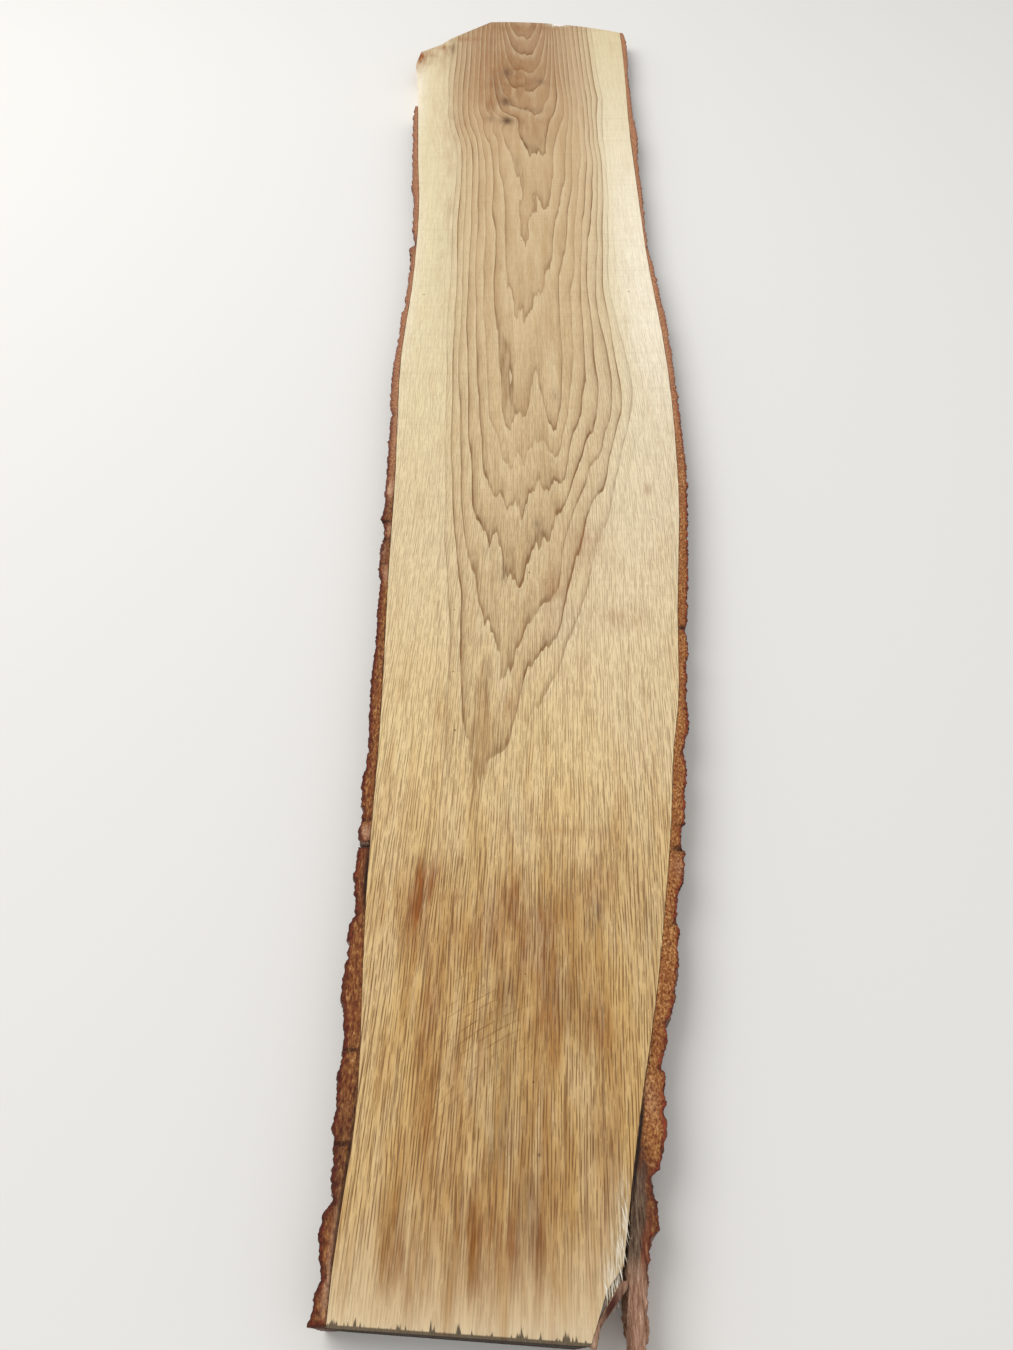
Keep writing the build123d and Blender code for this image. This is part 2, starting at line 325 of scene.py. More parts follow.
def oak_material(settings):
    """Through-sawn oak, not planed.

    It gives dull straw sapwood and tan heartwood, dark ring edges along the grain, open pores as
    short dark dashes, and warm and grey stains near the narrow end.
    """
    material = bpy.data.materials.new("sawn_oak")
    material.use_nodes = True
    tree = material.node_tree
    tree.nodes.clear()
    texture_place = add_node(tree, "TexCoord")
    place = texture_place.outputs["Object"]
    grain = add_node(tree, "Attribute", attribute_name="grain").outputs["Vector"]
    kept = {name: add_node(tree, "Attribute", attribute_name=name).outputs["Fac"]
            for name in ("ring", "ragged", "stain", "smudge", "pale", "arcs", "knots", "dusk", "torn")}

    # Noise drawn out along the grain: the sizes of its spots in millimetres, its detail and its shift
    grained = {}
    for name, sizes, detail, shift in (
        ("flutes", (26, 280, 26), 0.0, 0.0), ("folds", (14, 120, 14), 0.0, 0.0),
        ("ragged tips", (8, 100, 8), 0.0, 0.0), ("fine tips", (3.4, 44, 3.4), 0.0, 0.0),
        ("bands", (14, 260, 14), 2.0, 4.0), ("patchy", (22, 160, 22), 2.0, 2.0),
        ("uneven", (9, 64, 9), 3.0, 0.0), ("streaky", (3, 30, 3), 2.0, 6.0),
        ("broad", (16, 110, 16), 2.0, 7.0), ("narrow", (5, 60, 5), 1.0, 11.0),
        ("threads", (1.3, 34, 1.3), 1.0, 3.0), ("close lanes", (15, 130, 15), 1.0, 2.2),
        ("wide lanes", (15, 130, 15), 1.0, 4.7), ("blade", (120, 5, 120), 1.0, 5.0),
        ("arcs", (14, 14, 14), 2.0, 0.0), ("bare", (1.5, 16, 1.5), 2.0, 17.0),
        ("cut rings", (30, 900, 30), 2.0, 13.0), ("fuzz_and_shade", (1.5, 1.5, 1.5), 3.0, 0.0),
        ("checks", (3.4, 900, 3.4), 2.0, 9.0),
    ):
        scaled = add_node(tree, "Mapping", {
            "Vector": grain, "Scale": per_mm(*sizes), "Location": (shift, shift, 0.0),
        }).outputs[0]
        grained[name] = add_node(tree, "TexNoise", {
            "Vector": scaled, "Scale": 1.0, "Detail": detail, "Roughness": 0.6,
        }).outputs[0]

    # Distance along the board, 0 at the narrow end and 1 at the butt
    split = add_node(tree, "SeparateXYZ", {0: place})
    along = add_node(tree, "MapRange", {
        "Value": split.outputs["Y"], "From Min": NEAR_END, "From Max": -NEAR_END,
    }).outputs[0]

    # Ring edges waver with the fluting of the log, and their tips are ragged along the grain
    wavy = kept["ring"]
    calmer = add_node(tree, "MapRange", {
        "Value": along, "From Min": 0.78, "From Max": 0.88, "To Min": 1.0, "To Max": 0.5,
    }, interpolation_type="SMOOTHSTEP").outputs[0]
    for name, reach, held in (
        ("flutes", 0.8, calmer), ("folds", 0.6, calmer),
        ("ragged tips", 1.3, kept["ragged"]), ("fine tips", 0.9, kept["ragged"]),
    ):
        waver = add_node(tree, "Math", {0: grained[name], 1: 0.5}, operation="SUBTRACT").outputs[0]
        waver = add_node(tree, "Math", {0: waver, 1: held}, operation="MULTIPLY").outputs[0]
        wavy = add_node(tree, "Math", {
            0: waver, 1: reach, 2: wavy,
        }, operation="MULTIPLY_ADD").outputs[0]
    year = add_node(tree, "Math", {0: wavy}, operation="FLOOR").outputs[0]
    season = add_node(tree, "Math", {0: wavy}, operation="FRACT").outputs[0]

    # A ring is pale where its year began, and darkens to a sharp edge where it ended
    late = add_node(tree, "ValToRGB", {0: season}, stops=[
        (0.0, 0.0), (0.5, 0.06), (0.82, 0.4), (0.93, 1.0), (0.98, 1.0), (1.0, 0.6),
    ]).outputs[0]
    early = add_node(tree, "ValToRGB", {0: season}, stops=[(0.0, 1.0), (0.16, 0.8), (0.4, 0.0)]).outputs[0]

    # Some years stand out, most of all rings -3 and -9
    years_shown = add_node(tree, "MapRange", {
        "Value": year, "From Min": -16.0, "From Max": 4.0,
    }).outputs[0]
    strong = add_node(tree, "ValToRGB", {0: years_shown}, stops=[
        (0.0, 0.6), (0.08, 0.6), (0.13, 0.8), (0.18, 0.6), (0.23, 0.8), (0.28, 0.55), (0.33, 1.0),
        (0.38, 0.5), (0.43, 0.55), (0.48, 0.7), (0.53, 0.4), (0.58, 0.75), (0.63, 1.0), (0.68, 0.7),
        (0.73, 0.9), (0.78, 0.5), (0.83, 0.6), (0.88, 0.3),
    ])
    strong.color_ramp.interpolation = "CONSTANT"

    # Heartwood ends softly about ring 0, and deepens over the next rings
    border = add_node(tree, "Math", {
        0: add_node(tree, "MapRange", {
            "Value": wavy, "From Min": 1.4, "From Max": -0.9, "To Min": 0.0, "To Max": 0.7,
        }, interpolation_type="SMOOTHSTEP").outputs[0],
        1: add_node(tree, "MapRange", {
            "Value": wavy, "From Min": -0.5, "From Max": -4.5, "To Min": 0.0, "To Max": 0.3,
        }, interpolation_type="SMOOTHSTEP").outputs[0],
    }, operation="ADD").outputs[0]
    heart = add_node(tree, "Math", {
        0: border,
        1: add_node(tree, "MapRange", {
            "Value": along, "From Min": 0.13, "From Max": 0.25,
        }, interpolation_type="SMOOTHSTEP").outputs[0],
    }, operation="MULTIPLY").outputs[0]

    # Sapwood is golden brown near the narrow end, straw further on and cream towards the butt
    sap = add_node(tree, "ValToRGB", {0: along}, stops=[
        (0.0, "DCC6A0"), (0.006, "DABF93"), (0.014, "D7B989"), (0.03, "D7B274"), (0.09, "D9B474"),
        (0.13, "DCBA7E"), (0.19, "E5C992"), (0.3, "E2CCA2"), (0.42, "E3D2A8"), (0.6, "E4D6AE"),
        (0.8, "E2D3AC"), (1.0, "DCCBA2"),
    ]).outputs[0]
    heart_tone = add_node(tree, "ValToRGB", {0: along}, stops=[
        (0.2, "D7BB8C"), (0.45, "D2B78C"), (0.75, "C9AB81"), (0.86, "B18D67"), (1.0, "A88561"),
    ]).outputs[0]
    soft = add_node(tree, "MapRange", {
        "Value": grained["bands"], "From Min": 0.4, "From Max": 0.66,
    }, interpolation_type="SMOOTHSTEP").outputs[0]
    heart_tone = add_node(tree, "Mix", {
        "Factor": add_node(tree, "Math", {0: soft, 1: 0.3}, operation="MULTIPLY").outputs[0],
        6: heart_tone, 7: tuple(settings.heartwood),
    }, data_type="RGBA").outputs[2]
    heart_tone = add_node(tree, "Mix", {
        "Factor": add_node(tree, "MapRange", {
            "Value": split.outputs["X"], "From Min": 0.05, "From Max": 0.13, "To Min": 0.0, "To Max": 0.45,
        }, interpolation_type="SMOOTHSTEP").outputs[0],
        6: heart_tone, 7: linear("DCC49E"),
    }, data_type="RGBA").outputs[2]
    body = add_node(tree, "Mix", {
        "Factor": heart, 6: sap, 7: heart_tone,
    }, data_type="RGBA").outputs[2]
    pale_far = add_node(tree, "ValToRGB", {0: along}, stops=[
        (0.1, "DEC294"), (0.3, "EBDAB8"), (0.5, "FAEFD8"),
    ]).outputs[0]
    bleached = add_node(tree, "Math", {
        0: kept["pale"],
        1: add_node(tree, "MapRange", {
            "Value": heart, "From Min": 0.0, "From Max": 1.0, "To Min": 1.0, "To Max": 0.2,
        }, interpolation_type="SMOOTHSTEP").outputs[0],
    }, operation="MULTIPLY", use_clamp=True).outputs[0]
    body = add_node(tree, "Mix", {
        "Factor": bleached, 6: body, 7: pale_far,
    }, data_type="RGBA").outputs[2]

    # Ring edges show in the heartwood, and faintly in the far sapwood
    lined = add_node(tree, "Math", {
        0: add_node(tree, "MapRange", {
            "Value": wavy, "From Min": 2.4, "From Max": 0.7,
        }, interpolation_type="SMOOTHSTEP").outputs[0],
        1: add_node(tree, "MapRange", {
            "Value": along, "From Min": 0.12, "From Max": 0.23,
        }, interpolation_type="SMOOTHSTEP").outputs[0],
    }, operation="MULTIPLY").outputs[0]
    shown = add_node(tree, "Math", {
        0: lined,
        1: add_node(tree, "MapRange", {
            "Value": along, "From Min": 0.2, "From Max": 0.4, "To Min": 0.0, "To Max": 0.25,
        }, interpolation_type="SMOOTHSTEP").outputs[0],
    }, operation="MAXIMUM").outputs[0]
    patchy = add_node(tree, "MapRange", {
        "Value": grained["patchy"], "From Min": 0.38, "From Max": 0.58, "To Min": 0.55, "To Max": 1.0,
    }, interpolation_type="SMOOTHSTEP").outputs[0]
    shown = add_node(tree, "Math", {0: shown, 1: patchy}, operation="MULTIPLY").outputs[0]
    edge = add_node(tree, "Math", {
        0: add_node(tree, "Math", {
            0: late, 1: strong.outputs[0],
        }, operation="MULTIPLY").outputs[0],
        1: add_node(tree, "Math", {0: shown, 1: 1.15}, operation="MULTIPLY").outputs[0],
    }, operation="MULTIPLY", use_clamp=True).outputs[0]
    ringed = add_node(tree, "Mix", {
        "Factor": edge, 6: body, 7: tuple(settings.latewood),
    }, data_type="RGBA").outputs[2]
    glow = add_node(tree, "Math", {
        0: add_node(tree, "Math", {0: early, 1: shown}, operation="MULTIPLY").outputs[0], 1: 0.35,
    }, operation="MULTIPLY").outputs[0]
    ringed = add_node(tree, "Mix", {
        "Factor": glow, 6: ringed, 7: linear("E4D2AC"),
    }, data_type="RGBA").outputs[2]

    # Warm and grey stains, a little uneven along the grain
    uneven = add_node(tree, "MapRange", {
        "Value": grained["uneven"], "From Min": 0.36, "From Max": 0.64, "To Min": 0.45, "To Max": 1.6,
    }).outputs[0]
    ringed = add_node(tree, "Mix", {
        "Factor": add_node(tree, "Math", {
            0: kept["dusk"], 1: uneven,
        }, operation="MULTIPLY", use_clamp=True).outputs[0],
        6: ringed, 7: linear("875217"),
    }, data_type="RGBA").outputs[2]
    stain = add_node(tree, "Math", {
        0: kept["stain"], 1: uneven,
    }, operation="MULTIPLY", use_clamp=True).outputs[0]
    stained = add_node(tree, "Mix", {
        "Factor": stain, 6: ringed, 7: tuple(settings.stain),
    }, data_type="RGBA").outputs[2]
    smudge = add_node(tree, "Math", {
        0: kept["smudge"],
        1: add_node(tree, "MapRange", {
            "Value": grained["streaky"], "From Min": 0.4, "From Max": 0.6, "To Min": 0.5, "To Max": 1.4,
        }, interpolation_type="SMOOTHSTEP").outputs[0],
    }, operation="MULTIPLY", use_clamp=True).outputs[0]
    weathered = add_node(tree, "Mix", {
        "Factor": smudge, 6: stained, 7: tuple(settings.smudge),
    }, data_type="RGBA").outputs[2]

    # The knots near the butt are dark brown
    knot = add_node(tree, "Math", {
        0: kept["knots"], 1: 0.8,
    }, operation="MULTIPLY", use_clamp=True).outputs[0]
    weathered = add_node(tree, "Mix", {
        "Factor": knot, 6: weathered, 7: linear("5A3B22"),
    }, data_type="RGBA").outputs[2]

    # Broad streaks near the narrow end, golden and pale by turns, and narrower faint ones
    near = add_node(tree, "MapRange", {
        "Value": along, "From Min": 0.1, "From Max": 0.3, "To Min": 1.0, "To Max": 0.25,
    }, interpolation_type="SMOOTHSTEP").outputs[0]
    tone = weathered
    for name, low, high, strength, shade in (
        ("broad", 0.5, 0.66, 0.35, "B07F3C"), ("broad", 0.48, 0.36, 0.25, "DDC59C"),
        ("narrow", 0.5, 0.68, 0.18, "A47236"), ("narrow", 0.46, 0.34, 0.09, "E2CBA2"),
    ):
        streak = add_node(tree, "MapRange", {
            "Value": grained[name], "From Min": low, "From Max": high,
        }, interpolation_type="SMOOTHSTEP").outputs[0]
        faded = add_node(tree, "Math", {0: near, 1: strength}, operation="MULTIPLY").outputs[0]
        streak = add_node(tree, "Math", {0: streak, 1: faded}, operation="MULTIPLY").outputs[0]
        tone = add_node(tree, "Mix", {
            "Factor": streak, 6: tone, 7: linear(shade),
        }, data_type="RGBA").outputs[2]

    # Fibre lines 2.2 and 4.7 mm apart, each wavering and broken off here and there
    lengthwise = add_node(tree, "SeparateXYZ", {0: grain})
    fibres = add_node(tree, "ValToRGB", {0: along}, stops=[
        (0.0, 0.1), (0.012, 0.4), (0.03, 0.9), (0.12, 0.9), (0.16, 0.72), (0.2, 0.55), (0.27, 0.4),
        (0.38, 0.3), (0.5, 0.18), (0.7, 0.08),
    ]).outputs[0]
    dark_thread = 0.0
    for name, apart, run, width, strength in (
        ("close lanes", 2.2, 30, 0.16, 0.95), ("wide lanes", 4.7, 60, 0.1, 0.8),
    ):
        lane = add_node(tree, "Math", {
            0: lengthwise.outputs["X"], 1: 1000 / apart,
            2: add_node(tree, "Math", {
                0: grained[name], 1: 8 / apart,
            }, operation="MULTIPLY").outputs[0],
        }, operation="MULTIPLY_ADD").outputs[0]
        aside = add_node(tree, "Math", {
            0: add_node(tree, "Math", {
                0: add_node(tree, "Math", {0: lane}, operation="FRACT").outputs[0], 1: 0.5,
            }, operation="SUBTRACT").outputs[0],
        }, operation="ABSOLUTE").outputs[0]
        thin = add_node(tree, "MapRange", {
            "Value": aside, "From Min": width + 0.07, "From Max": width - 0.07,
        }, interpolation_type="SMOOTHSTEP").outputs[0]
        at = add_node(tree, "CombineXYZ", {
            "X": add_node(tree, "Math", {
                0: add_node(tree, "Math", {0: lane}, operation="FLOOR").outputs[0], 1: 7.31,
            }, operation="MULTIPLY").outputs[0],
            "Y": add_node(tree, "Math", {
                0: lengthwise.outputs["Y"], 1: 1000 / run,
            }, operation="MULTIPLY").outputs[0],
        }).outputs[0]
        broken = add_node(tree, "TexNoise", {
            "Vector": at, "Scale": 1.0, "Detail": 2.0,
        }).outputs[0]
        line = add_node(tree, "Math", {
            0: add_node(tree, "Math", {
                0: thin,
                1: add_node(tree, "MapRange", {
                    "Value": broken, "From Min": 0.4, "From Max": 0.6,
                }, interpolation_type="SMOOTHSTEP").outputs[0],
            }, operation="MULTIPLY").outputs[0],
            1: strength,
        }, operation="MULTIPLY").outputs[0]
        dark_thread = add_node(tree, "Math", {
            0: dark_thread, 1: line,
        }, operation="MAXIMUM").outputs[0]
    tone = add_node(tree, "Mix", {
        "Factor": add_node(tree, "Math", {
            0: dark_thread, 1: fibres,
        }, operation="MULTIPLY").outputs[0],
        6: tone, 7: tuple(settings.pore),
    }, data_type="RGBA").outputs[2]
    for low, high, strength, shade in ((0.44, 0.32, 0.13, "EBD6AC"), (0.54, 0.66, 0.18, "8A6030")):
        thread = add_node(tree, "MapRange", {
            "Value": grained["threads"], "From Min": low, "From Max": high,
        }, interpolation_type="SMOOTHSTEP").outputs[0]
        faded = add_node(tree, "Math", {0: fibres, 1: strength}, operation="MULTIPLY").outputs[0]
        thread = add_node(tree, "Math", {0: thread, 1: faded}, operation="MULTIPLY").outputs[0]
        tone = add_node(tree, "Mix", {
            "Factor": thread, 6: tone, 7: linear(shade),
        }, data_type="RGBA").outputs[2]

    # Faint marks of the saw run across the grain, 5 mm long
    blade = add_node(tree, "MapRange", {
        "Value": grained["blade"], "From Min": 0.5, "From Max": 0.75, "To Min": 0.0, "To Max": 0.07,
    }, interpolation_type="SMOOTHSTEP").outputs[0]
    tone = add_node(tree, "Mix", {
        "Factor": add_node(tree, "Math", {
            0: blade,
            1: add_node(tree, "MapRange", {
                "Value": along, "From Min": 0.1, "From Max": 0.6, "To Min": 0.5, "To Max": 1.0,
            }, interpolation_type="SMOOTHSTEP").outputs[0],
        }, operation="MULTIPLY").outputs[0],
        6: tone, 7: tuple(settings.latewood),
    }, data_type="RGBA").outputs[2]

    # Where the blade turned at the near end it left arcs 7.2 mm apart
    turn = add_node(tree, "VectorMath", {
        0: place, 1: (0.06, NEAR_END + 0.02, TOP),
    }, operation="DISTANCE").outputs["Value"]
    tooth = add_node(tree, "MapRange", {
        "Value": add_node(tree, "Math", {
            0: add_node(tree, "Math", {
                0: turn, 1: math.tau / 0.0072,
            }, operation="MULTIPLY").outputs[0],
        }, operation="SINE").outputs[0],
        "From Min": 0.75, "From Max": 0.97,
    }, interpolation_type="SMOOTHSTEP").outputs[0]
    tooth = add_node(tree, "Math", {
        0: tooth,
        1: add_node(tree, "MapRange", {
            "Value": grained["arcs"], "From Min": 0.4, "From Max": 0.6,
        }, interpolation_type="SMOOTHSTEP").outputs[0],
    }, operation="MULTIPLY").outputs[0]
    tone = add_node(tree, "Mix", {
        "Factor": add_node(tree, "Math", {
            0: add_node(tree, "Math", {
                0: tooth, 1: kept["arcs"],
            }, operation="MULTIPLY").outputs[0],
            1: 0.5,
        }, operation="MULTIPLY").outputs[0],
        6: tone, 7: tuple(settings.pore),
    }, data_type="RGBA").outputs[2]

    # Open pores: dark dashes about 0.7 mm wide, a little coarser than real so that they show
    cells = add_node(tree, "Mapping", {"Vector": grain, "Scale": per_mm(1.9, 12, 12)}).outputs[0]
    pore = add_node(tree, "TexVoronoi", {"Vector": cells, "Scale": 1.0}, voronoi_dimensions="2D")
    aside = add_node(tree, "VectorMath", {
        0: cells, 1: pore.outputs["Position"],
    }, operation="SUBTRACT")
    aside = add_node(tree, "VectorMath", {0: aside.outputs[0]}, operation="ABSOLUTE")
    aside = add_node(tree, "SeparateXYZ", {0: aside.outputs[0]})
    pores = add_node(tree, "Math", {
        0: add_node(tree, "MapRange", {
            "Value": aside.outputs["X"], "From Min": 0.28, "From Max": 0.1,
        }, interpolation_type="SMOOTHSTEP").outputs[0],
        1: add_node(tree, "MapRange", {
            "Value": aside.outputs["Y"], "From Min": 0.52, "From Max": 0.3,
        }, interpolation_type="SMOOTHSTEP").outputs[0],
    }, operation="MULTIPLY").outputs[0]
    chance = add_node(tree, "SeparateColor", {0: pore.outputs["Color"]}).outputs[0]
    pores = add_node(tree, "Math", {
        0: pores,
        1: add_node(tree, "MapRange", {
            "Value": chance, "From Min": 0.15, "From Max": 0.7, "To Min": 0.15, "To Max": 1.0,
        }).outputs[0],
    }, operation="MULTIPLY").outputs[0]
    open_near = add_node(tree, "ValToRGB", {0: along}, stops=[
        (0.0, 0.05), (0.02, 0.3), (0.06, 0.4), (0.2, 0.3), (0.3, 0.2), (0.42, 0.12), (0.6, 0.04),
        (1.0, 0.02),
    ]).outputs[0]
    colour = add_node(tree, "Mix", {
        "Factor": add_node(tree, "Math", {
            0: pores, 1: open_near,
        }, operation="MULTIPLY").outputs[0],
        6: tone, 7: tuple(settings.pore),
    }, data_type="RGBA").outputs[2]

    # Pale fibres lie bare along the torn corner, and a spot on the butt's edge is near white
    bare = add_node(tree, "ValToRGB", {0: grained["bare"]}, stops=[
        (0.36, "8C7452"), (0.5, "C9B898"), (0.62, "ECE2D0"),
    ]).outputs[0]
    colour = add_node(tree, "Mix", {
        "Factor": add_node(tree, "Math", {
            0: kept["torn"], 1: 0.85,
        }, operation="MULTIPLY", use_clamp=True).outputs[0],
        6: colour, 7: bare,
    }, data_type="RGBA").outputs[2]
    colour = add_node(tree, "Mix", {
        "Factor": add_node(tree, "MapRange", {
            "Value": kept["torn"], "From Min": 1.1, "From Max": 1.7, "To Min": 0.0, "To Max": 0.9,
        }, interpolation_type="SMOOTHSTEP").outputs[0],
        6: colour, 7: linear("F4EEEA"),
    }, data_type="RGBA").outputs[2]

    # A few dark specks of dirt, up to 3 mm across
    cells = add_node(tree, "Mapping", {"Vector": place, "Scale": per_mm(74, 90, 74)}).outputs[0]
    speck = add_node(tree, "TexVoronoi", {"Vector": cells, "Scale": 1.0}, voronoi_dimensions="2D")
    chance = add_node(tree, "SeparateColor", {0: speck.outputs["Color"]}).outputs[0]
    size = add_node(tree, "MapRange", {
        "Value": chance, "From Min": 0.62, "From Max": 1.0, "To Min": 0.0, "To Max": 0.018,
    }).outputs[0]
    dirt = add_node(tree, "Math", {
        0: size, 1: speck.outputs["Distance"],
    }, operation="GREATER_THAN").outputs[0]
    colour = add_node(tree, "Mix", {
        "Factor": add_node(tree, "Math", {0: dirt, 1: 0.6}, operation="MULTIPLY").outputs[0],
        6: colour, 7: linear("4A3018"),
    }, data_type="RGBA").outputs[2]

    # Both cross cuts show rings round the pith under the board, fine pale rays and drying checks
    facing = add_node(tree, "SeparateXYZ", {0: texture_place.outputs["Normal"]}).outputs["Y"]
    end_grain = add_node(tree, "Math", {
        0: add_node(tree, "MapRange", {
            "Value": facing, "From Min": -0.4, "From Max": -0.7,
        }, interpolation_type="SMOOTHSTEP").outputs[0],
        1: add_node(tree, "MapRange", {
            "Value": facing, "From Min": 0.25, "From Max": 0.4,
        }, interpolation_type="SMOOTHSTEP").outputs[0],
    }, operation="MAXIMUM").outputs[0]
    from_pith = add_node(tree, "Mapping", {
        "Vector": place, "Location": (-0.009, 0.0, settings.pith_depth - TOP), "Scale": (1.0, 0.0, 1.0),
    }).outputs[0]
    radius = add_node(tree, "VectorMath", {0: from_pith}, operation="LENGTH").outputs["Value"]
    polar = add_node(tree, "SeparateXYZ", {0: from_pith})
    angle = add_node(tree, "Math", {
        0: polar.outputs["X"], 1: polar.outputs["Z"],
    }, operation="ARCTAN2").outputs[0]
    years = add_node(tree, "Math", {
        0: grained["cut rings"], 1: 2.0,
        2: add_node(tree, "Math", {
            0: radius, 1: settings.ring_width,
        }, operation="DIVIDE").outputs[0],
    }, operation="MULTIPLY_ADD").outputs[0]
    season = add_node(tree, "Math", {0: years}, operation="FRACT").outputs[0]
    cut_colour = add_node(tree, "ValToRGB", {0: season}, stops=[
        (0.0, "B29268"), (0.4, "A48259"), (0.85, "7E5E3C"), (1.0, "8E6C46"),
    ]).outputs[0]
    cut_colour = add_node(tree, "Mix", {
        "Factor": add_node(tree, "MapRange", {
            "Value": split.outputs["X"], "From Min": 0.11, "From Max": 0.16, "To Min": 0.0, "To Max": 0.5,
        }, interpolation_type="SMOOTHSTEP").outputs[0],
        6: cut_colour, 7: linear("CDB48A"),
    }, data_type="RGBA").outputs[2]
    for fine, tall, low, high, shade in ((75, 30, 0.56, 0.66, "D2B78E"), (22, 8, 0.64, 0.7, "3A2A1C")):
        at = add_node(tree, "CombineXYZ", {
            "X": add_node(tree, "Math", {0: angle, 1: fine}, operation="MULTIPLY").outputs[0],
            "Y": add_node(tree, "Math", {0: radius, 1: tall}, operation="MULTIPLY").outputs[0],
        }).outputs[0]
        ray = add_node(tree, "TexNoise", {"Vector": at, "Scale": 1.0, "Detail": 2.0}).outputs[0]
        cut_colour = add_node(tree, "Mix", {
            "Factor": add_node(tree, "MapRange", {
                "Value": ray, "From Min": low, "From Max": high, "To Min": 0.0, "To Max": 0.6,
            }, interpolation_type="SMOOTHSTEP").outputs[0],
            6: cut_colour, 7: linear(shade),
        }, data_type="RGBA").outputs[2]

    # The near cut is painted dark: its fuzzy end grain and painted shade in one dark colour. A strip of the
    # same painted shade runs along its top edge, wider where short checks run in from it
    fuzz_and_shade = add_node(tree, "ValToRGB", {0: grained["fuzz_and_shade"]}, stops=[
        (0.35, "211811"), (0.65, "48382A"),
    ]).outputs[0]
    cut_colour = add_node(tree, "Mix", {
        "Factor": add_node(tree, "MapRange", {
            "Value": split.outputs["Y"], "From Min": 0.1, "From Max": -0.1,
        }, interpolation_type="SMOOTHSTEP").outputs[0],
        6: cut_colour, 7: fuzz_and_shade,
    }, data_type="RGBA").outputs[2]
    from_end = add_node(tree, "Math", {
        0: split.outputs["Y"], 1: NEAR_CUT_MIDDLE,
    }, operation="SUBTRACT").outputs[0]
    skewed = add_node(tree, "Math", {
        0: split.outputs["X"], 1: NEAR_CUT_SLOPE, 2: from_end,
    }, operation="MULTIPLY_ADD").outputs[0]
    reach = add_node(tree, "MapRange", {
        "Value": grained["checks"], "From Min": 0.54, "From Max": 0.74, "To Min": 0.0018, "To Max": 0.009,
    }).outputs[0]
    # Painted shade: the dark strip along the near cut's top edge, reaching further in at the checks
    shaded_edge_and_checks = add_node(tree, "MapRange", {
        "Value": add_node(tree, "Math", {0: skewed, 1: reach}, operation="DIVIDE").outputs[0],
        "From Min": 1.3, "From Max": 0.7,
    }, interpolation_type="SMOOTHSTEP").outputs[0]
    # End faces take the end-grain colours, and the strip of painted shade along the near cut takes the dark
    # cut colour
    end_grain_and_shaded_edge = add_node(tree, "Math", {
        0: end_grain,
        1: add_node(tree, "Math", {0: shaded_edge_and_checks, 1: 0.85}, operation="MULTIPLY").outputs[0],
    }, operation="MAXIMUM").outputs[0]
    colour = add_node(tree, "Mix", {
        "Factor": end_grain_and_shaded_edge, 6: colour, 7: cut_colour,
    }, data_type="RGBA").outputs[2]

    # The pores are shallow grooves, and the saw left the fibres a little raised
    relief = add_node(tree, "Math", {
        0: add_node(tree, "Math", {0: grained["threads"], 1: 0.7}, operation="MULTIPLY").outputs[0],
        1: add_node(tree, "Math", {0: pores, 1: dark_thread}, operation="MAXIMUM").outputs[0],
    }, operation="SUBTRACT").outputs[0]
    bump = add_node(tree, "Bump", {"Strength": 0.5, "Distance": 0.0006, "Height": relief})
    shader = add_node(tree, "BsdfPrincipled", {
        "Base Color": colour, "Roughness": 0.78, "Specular IOR Level": 0.3, "Normal": bump.outputs[0],
    })
    add_node(tree, "OutputMaterial", {0: shader.outputs[0]})
    return material


CRACKS = [
    (-148, 110, 14, 1.6, 0.8), (-147, 176, 14, 1.5, 0.7), (-152, 353, 14, 2.2, 1.0),
    (-155, 377, 9, 1.6, 0.7), (-170, 702, 14, 2.2, 0.7), (-170, 741, 14, 2.6, 0.8),
    (-169, 771, 12, 3.0, 1.0), (-176, 1412, 12, 6, 1.0), (151, 607, 14, 2.4, 1.0), (121, 348, 9, 3.0, 1.0),
    (112, 279, 8, 2.4, 0.8), (92, 162, 9, 2.0, 0.8), (98, 197, 9, 2.2, 0.8), (126, 372, 8, 2.0, 0.7),
    (190, 1400, 10, 3.0, 0.8), (140, 449, 9, 2.0, 0.7), (-152, 72, 8, 3.0, 0.6), (-153, 33, 7, 3.0, 0.6),
]
FAIR_BARK = [
    (-168, 720, 4, 14, 0.9), (-167, 826, 5, 15, 1.0), (-160, 685, 6, 13, 0.5), (-154, 364, 8, 7, 0.7),
    (-163, 755, 7, 9, 0.5), (-166, 950, 6, 90, 0.3), (-147, 34, 1.6, 22, 0.45), (-145, 62, 1.4, 16, 0.5),
    (-147, 20, 3, 14, 0.4), (60, 88, 2.5, 10, 0.7), (118, 330, 6, 9, 0.3), (75, 140, 5, 14, 0.25),
]
DIM_BARK = [
    (37, 13, 9, 19, 1.3), (72, 72, 8, 28, 0.6), (62, 100, 7, 18, 0.5), (-166, 720, 10, 20, 0.5),
    (-166, 790, 10, 22, 0.5), (-147, 118, 9, 40, 0.4), (-151, 80, 9, 24, 0.5), (66, 150, 3, 60, 0.6),
    (-174, 1400, 12, 30, 0.4), (-150, 320, 3, 26, 0.8),
]
WORN_BARK = [
    (58, 56, 11, 34, 1.1), (55, 30, 9, 22, 0.9), (52, -20, 14, 34, 1.2), (64, 96, 6, 18, 0.5),
    (36, 10, 6, 18, 1.2), (26, -5, 8, 12, 1.0),
]
MOSS = [(147, 478, 4, 9, 1.0)]
SHADOWED_GAPS = [
    (-148.5, 318, 5, 34, 1.0), (-141, 100, 4, 60, 0.7), (-144, 40, 3, 40, 0.6), (68, 118, 8, 30, 1.0),
    (60, 85, 9, 40, 1.0), (80, 160, 6, 30, 0.5),
]


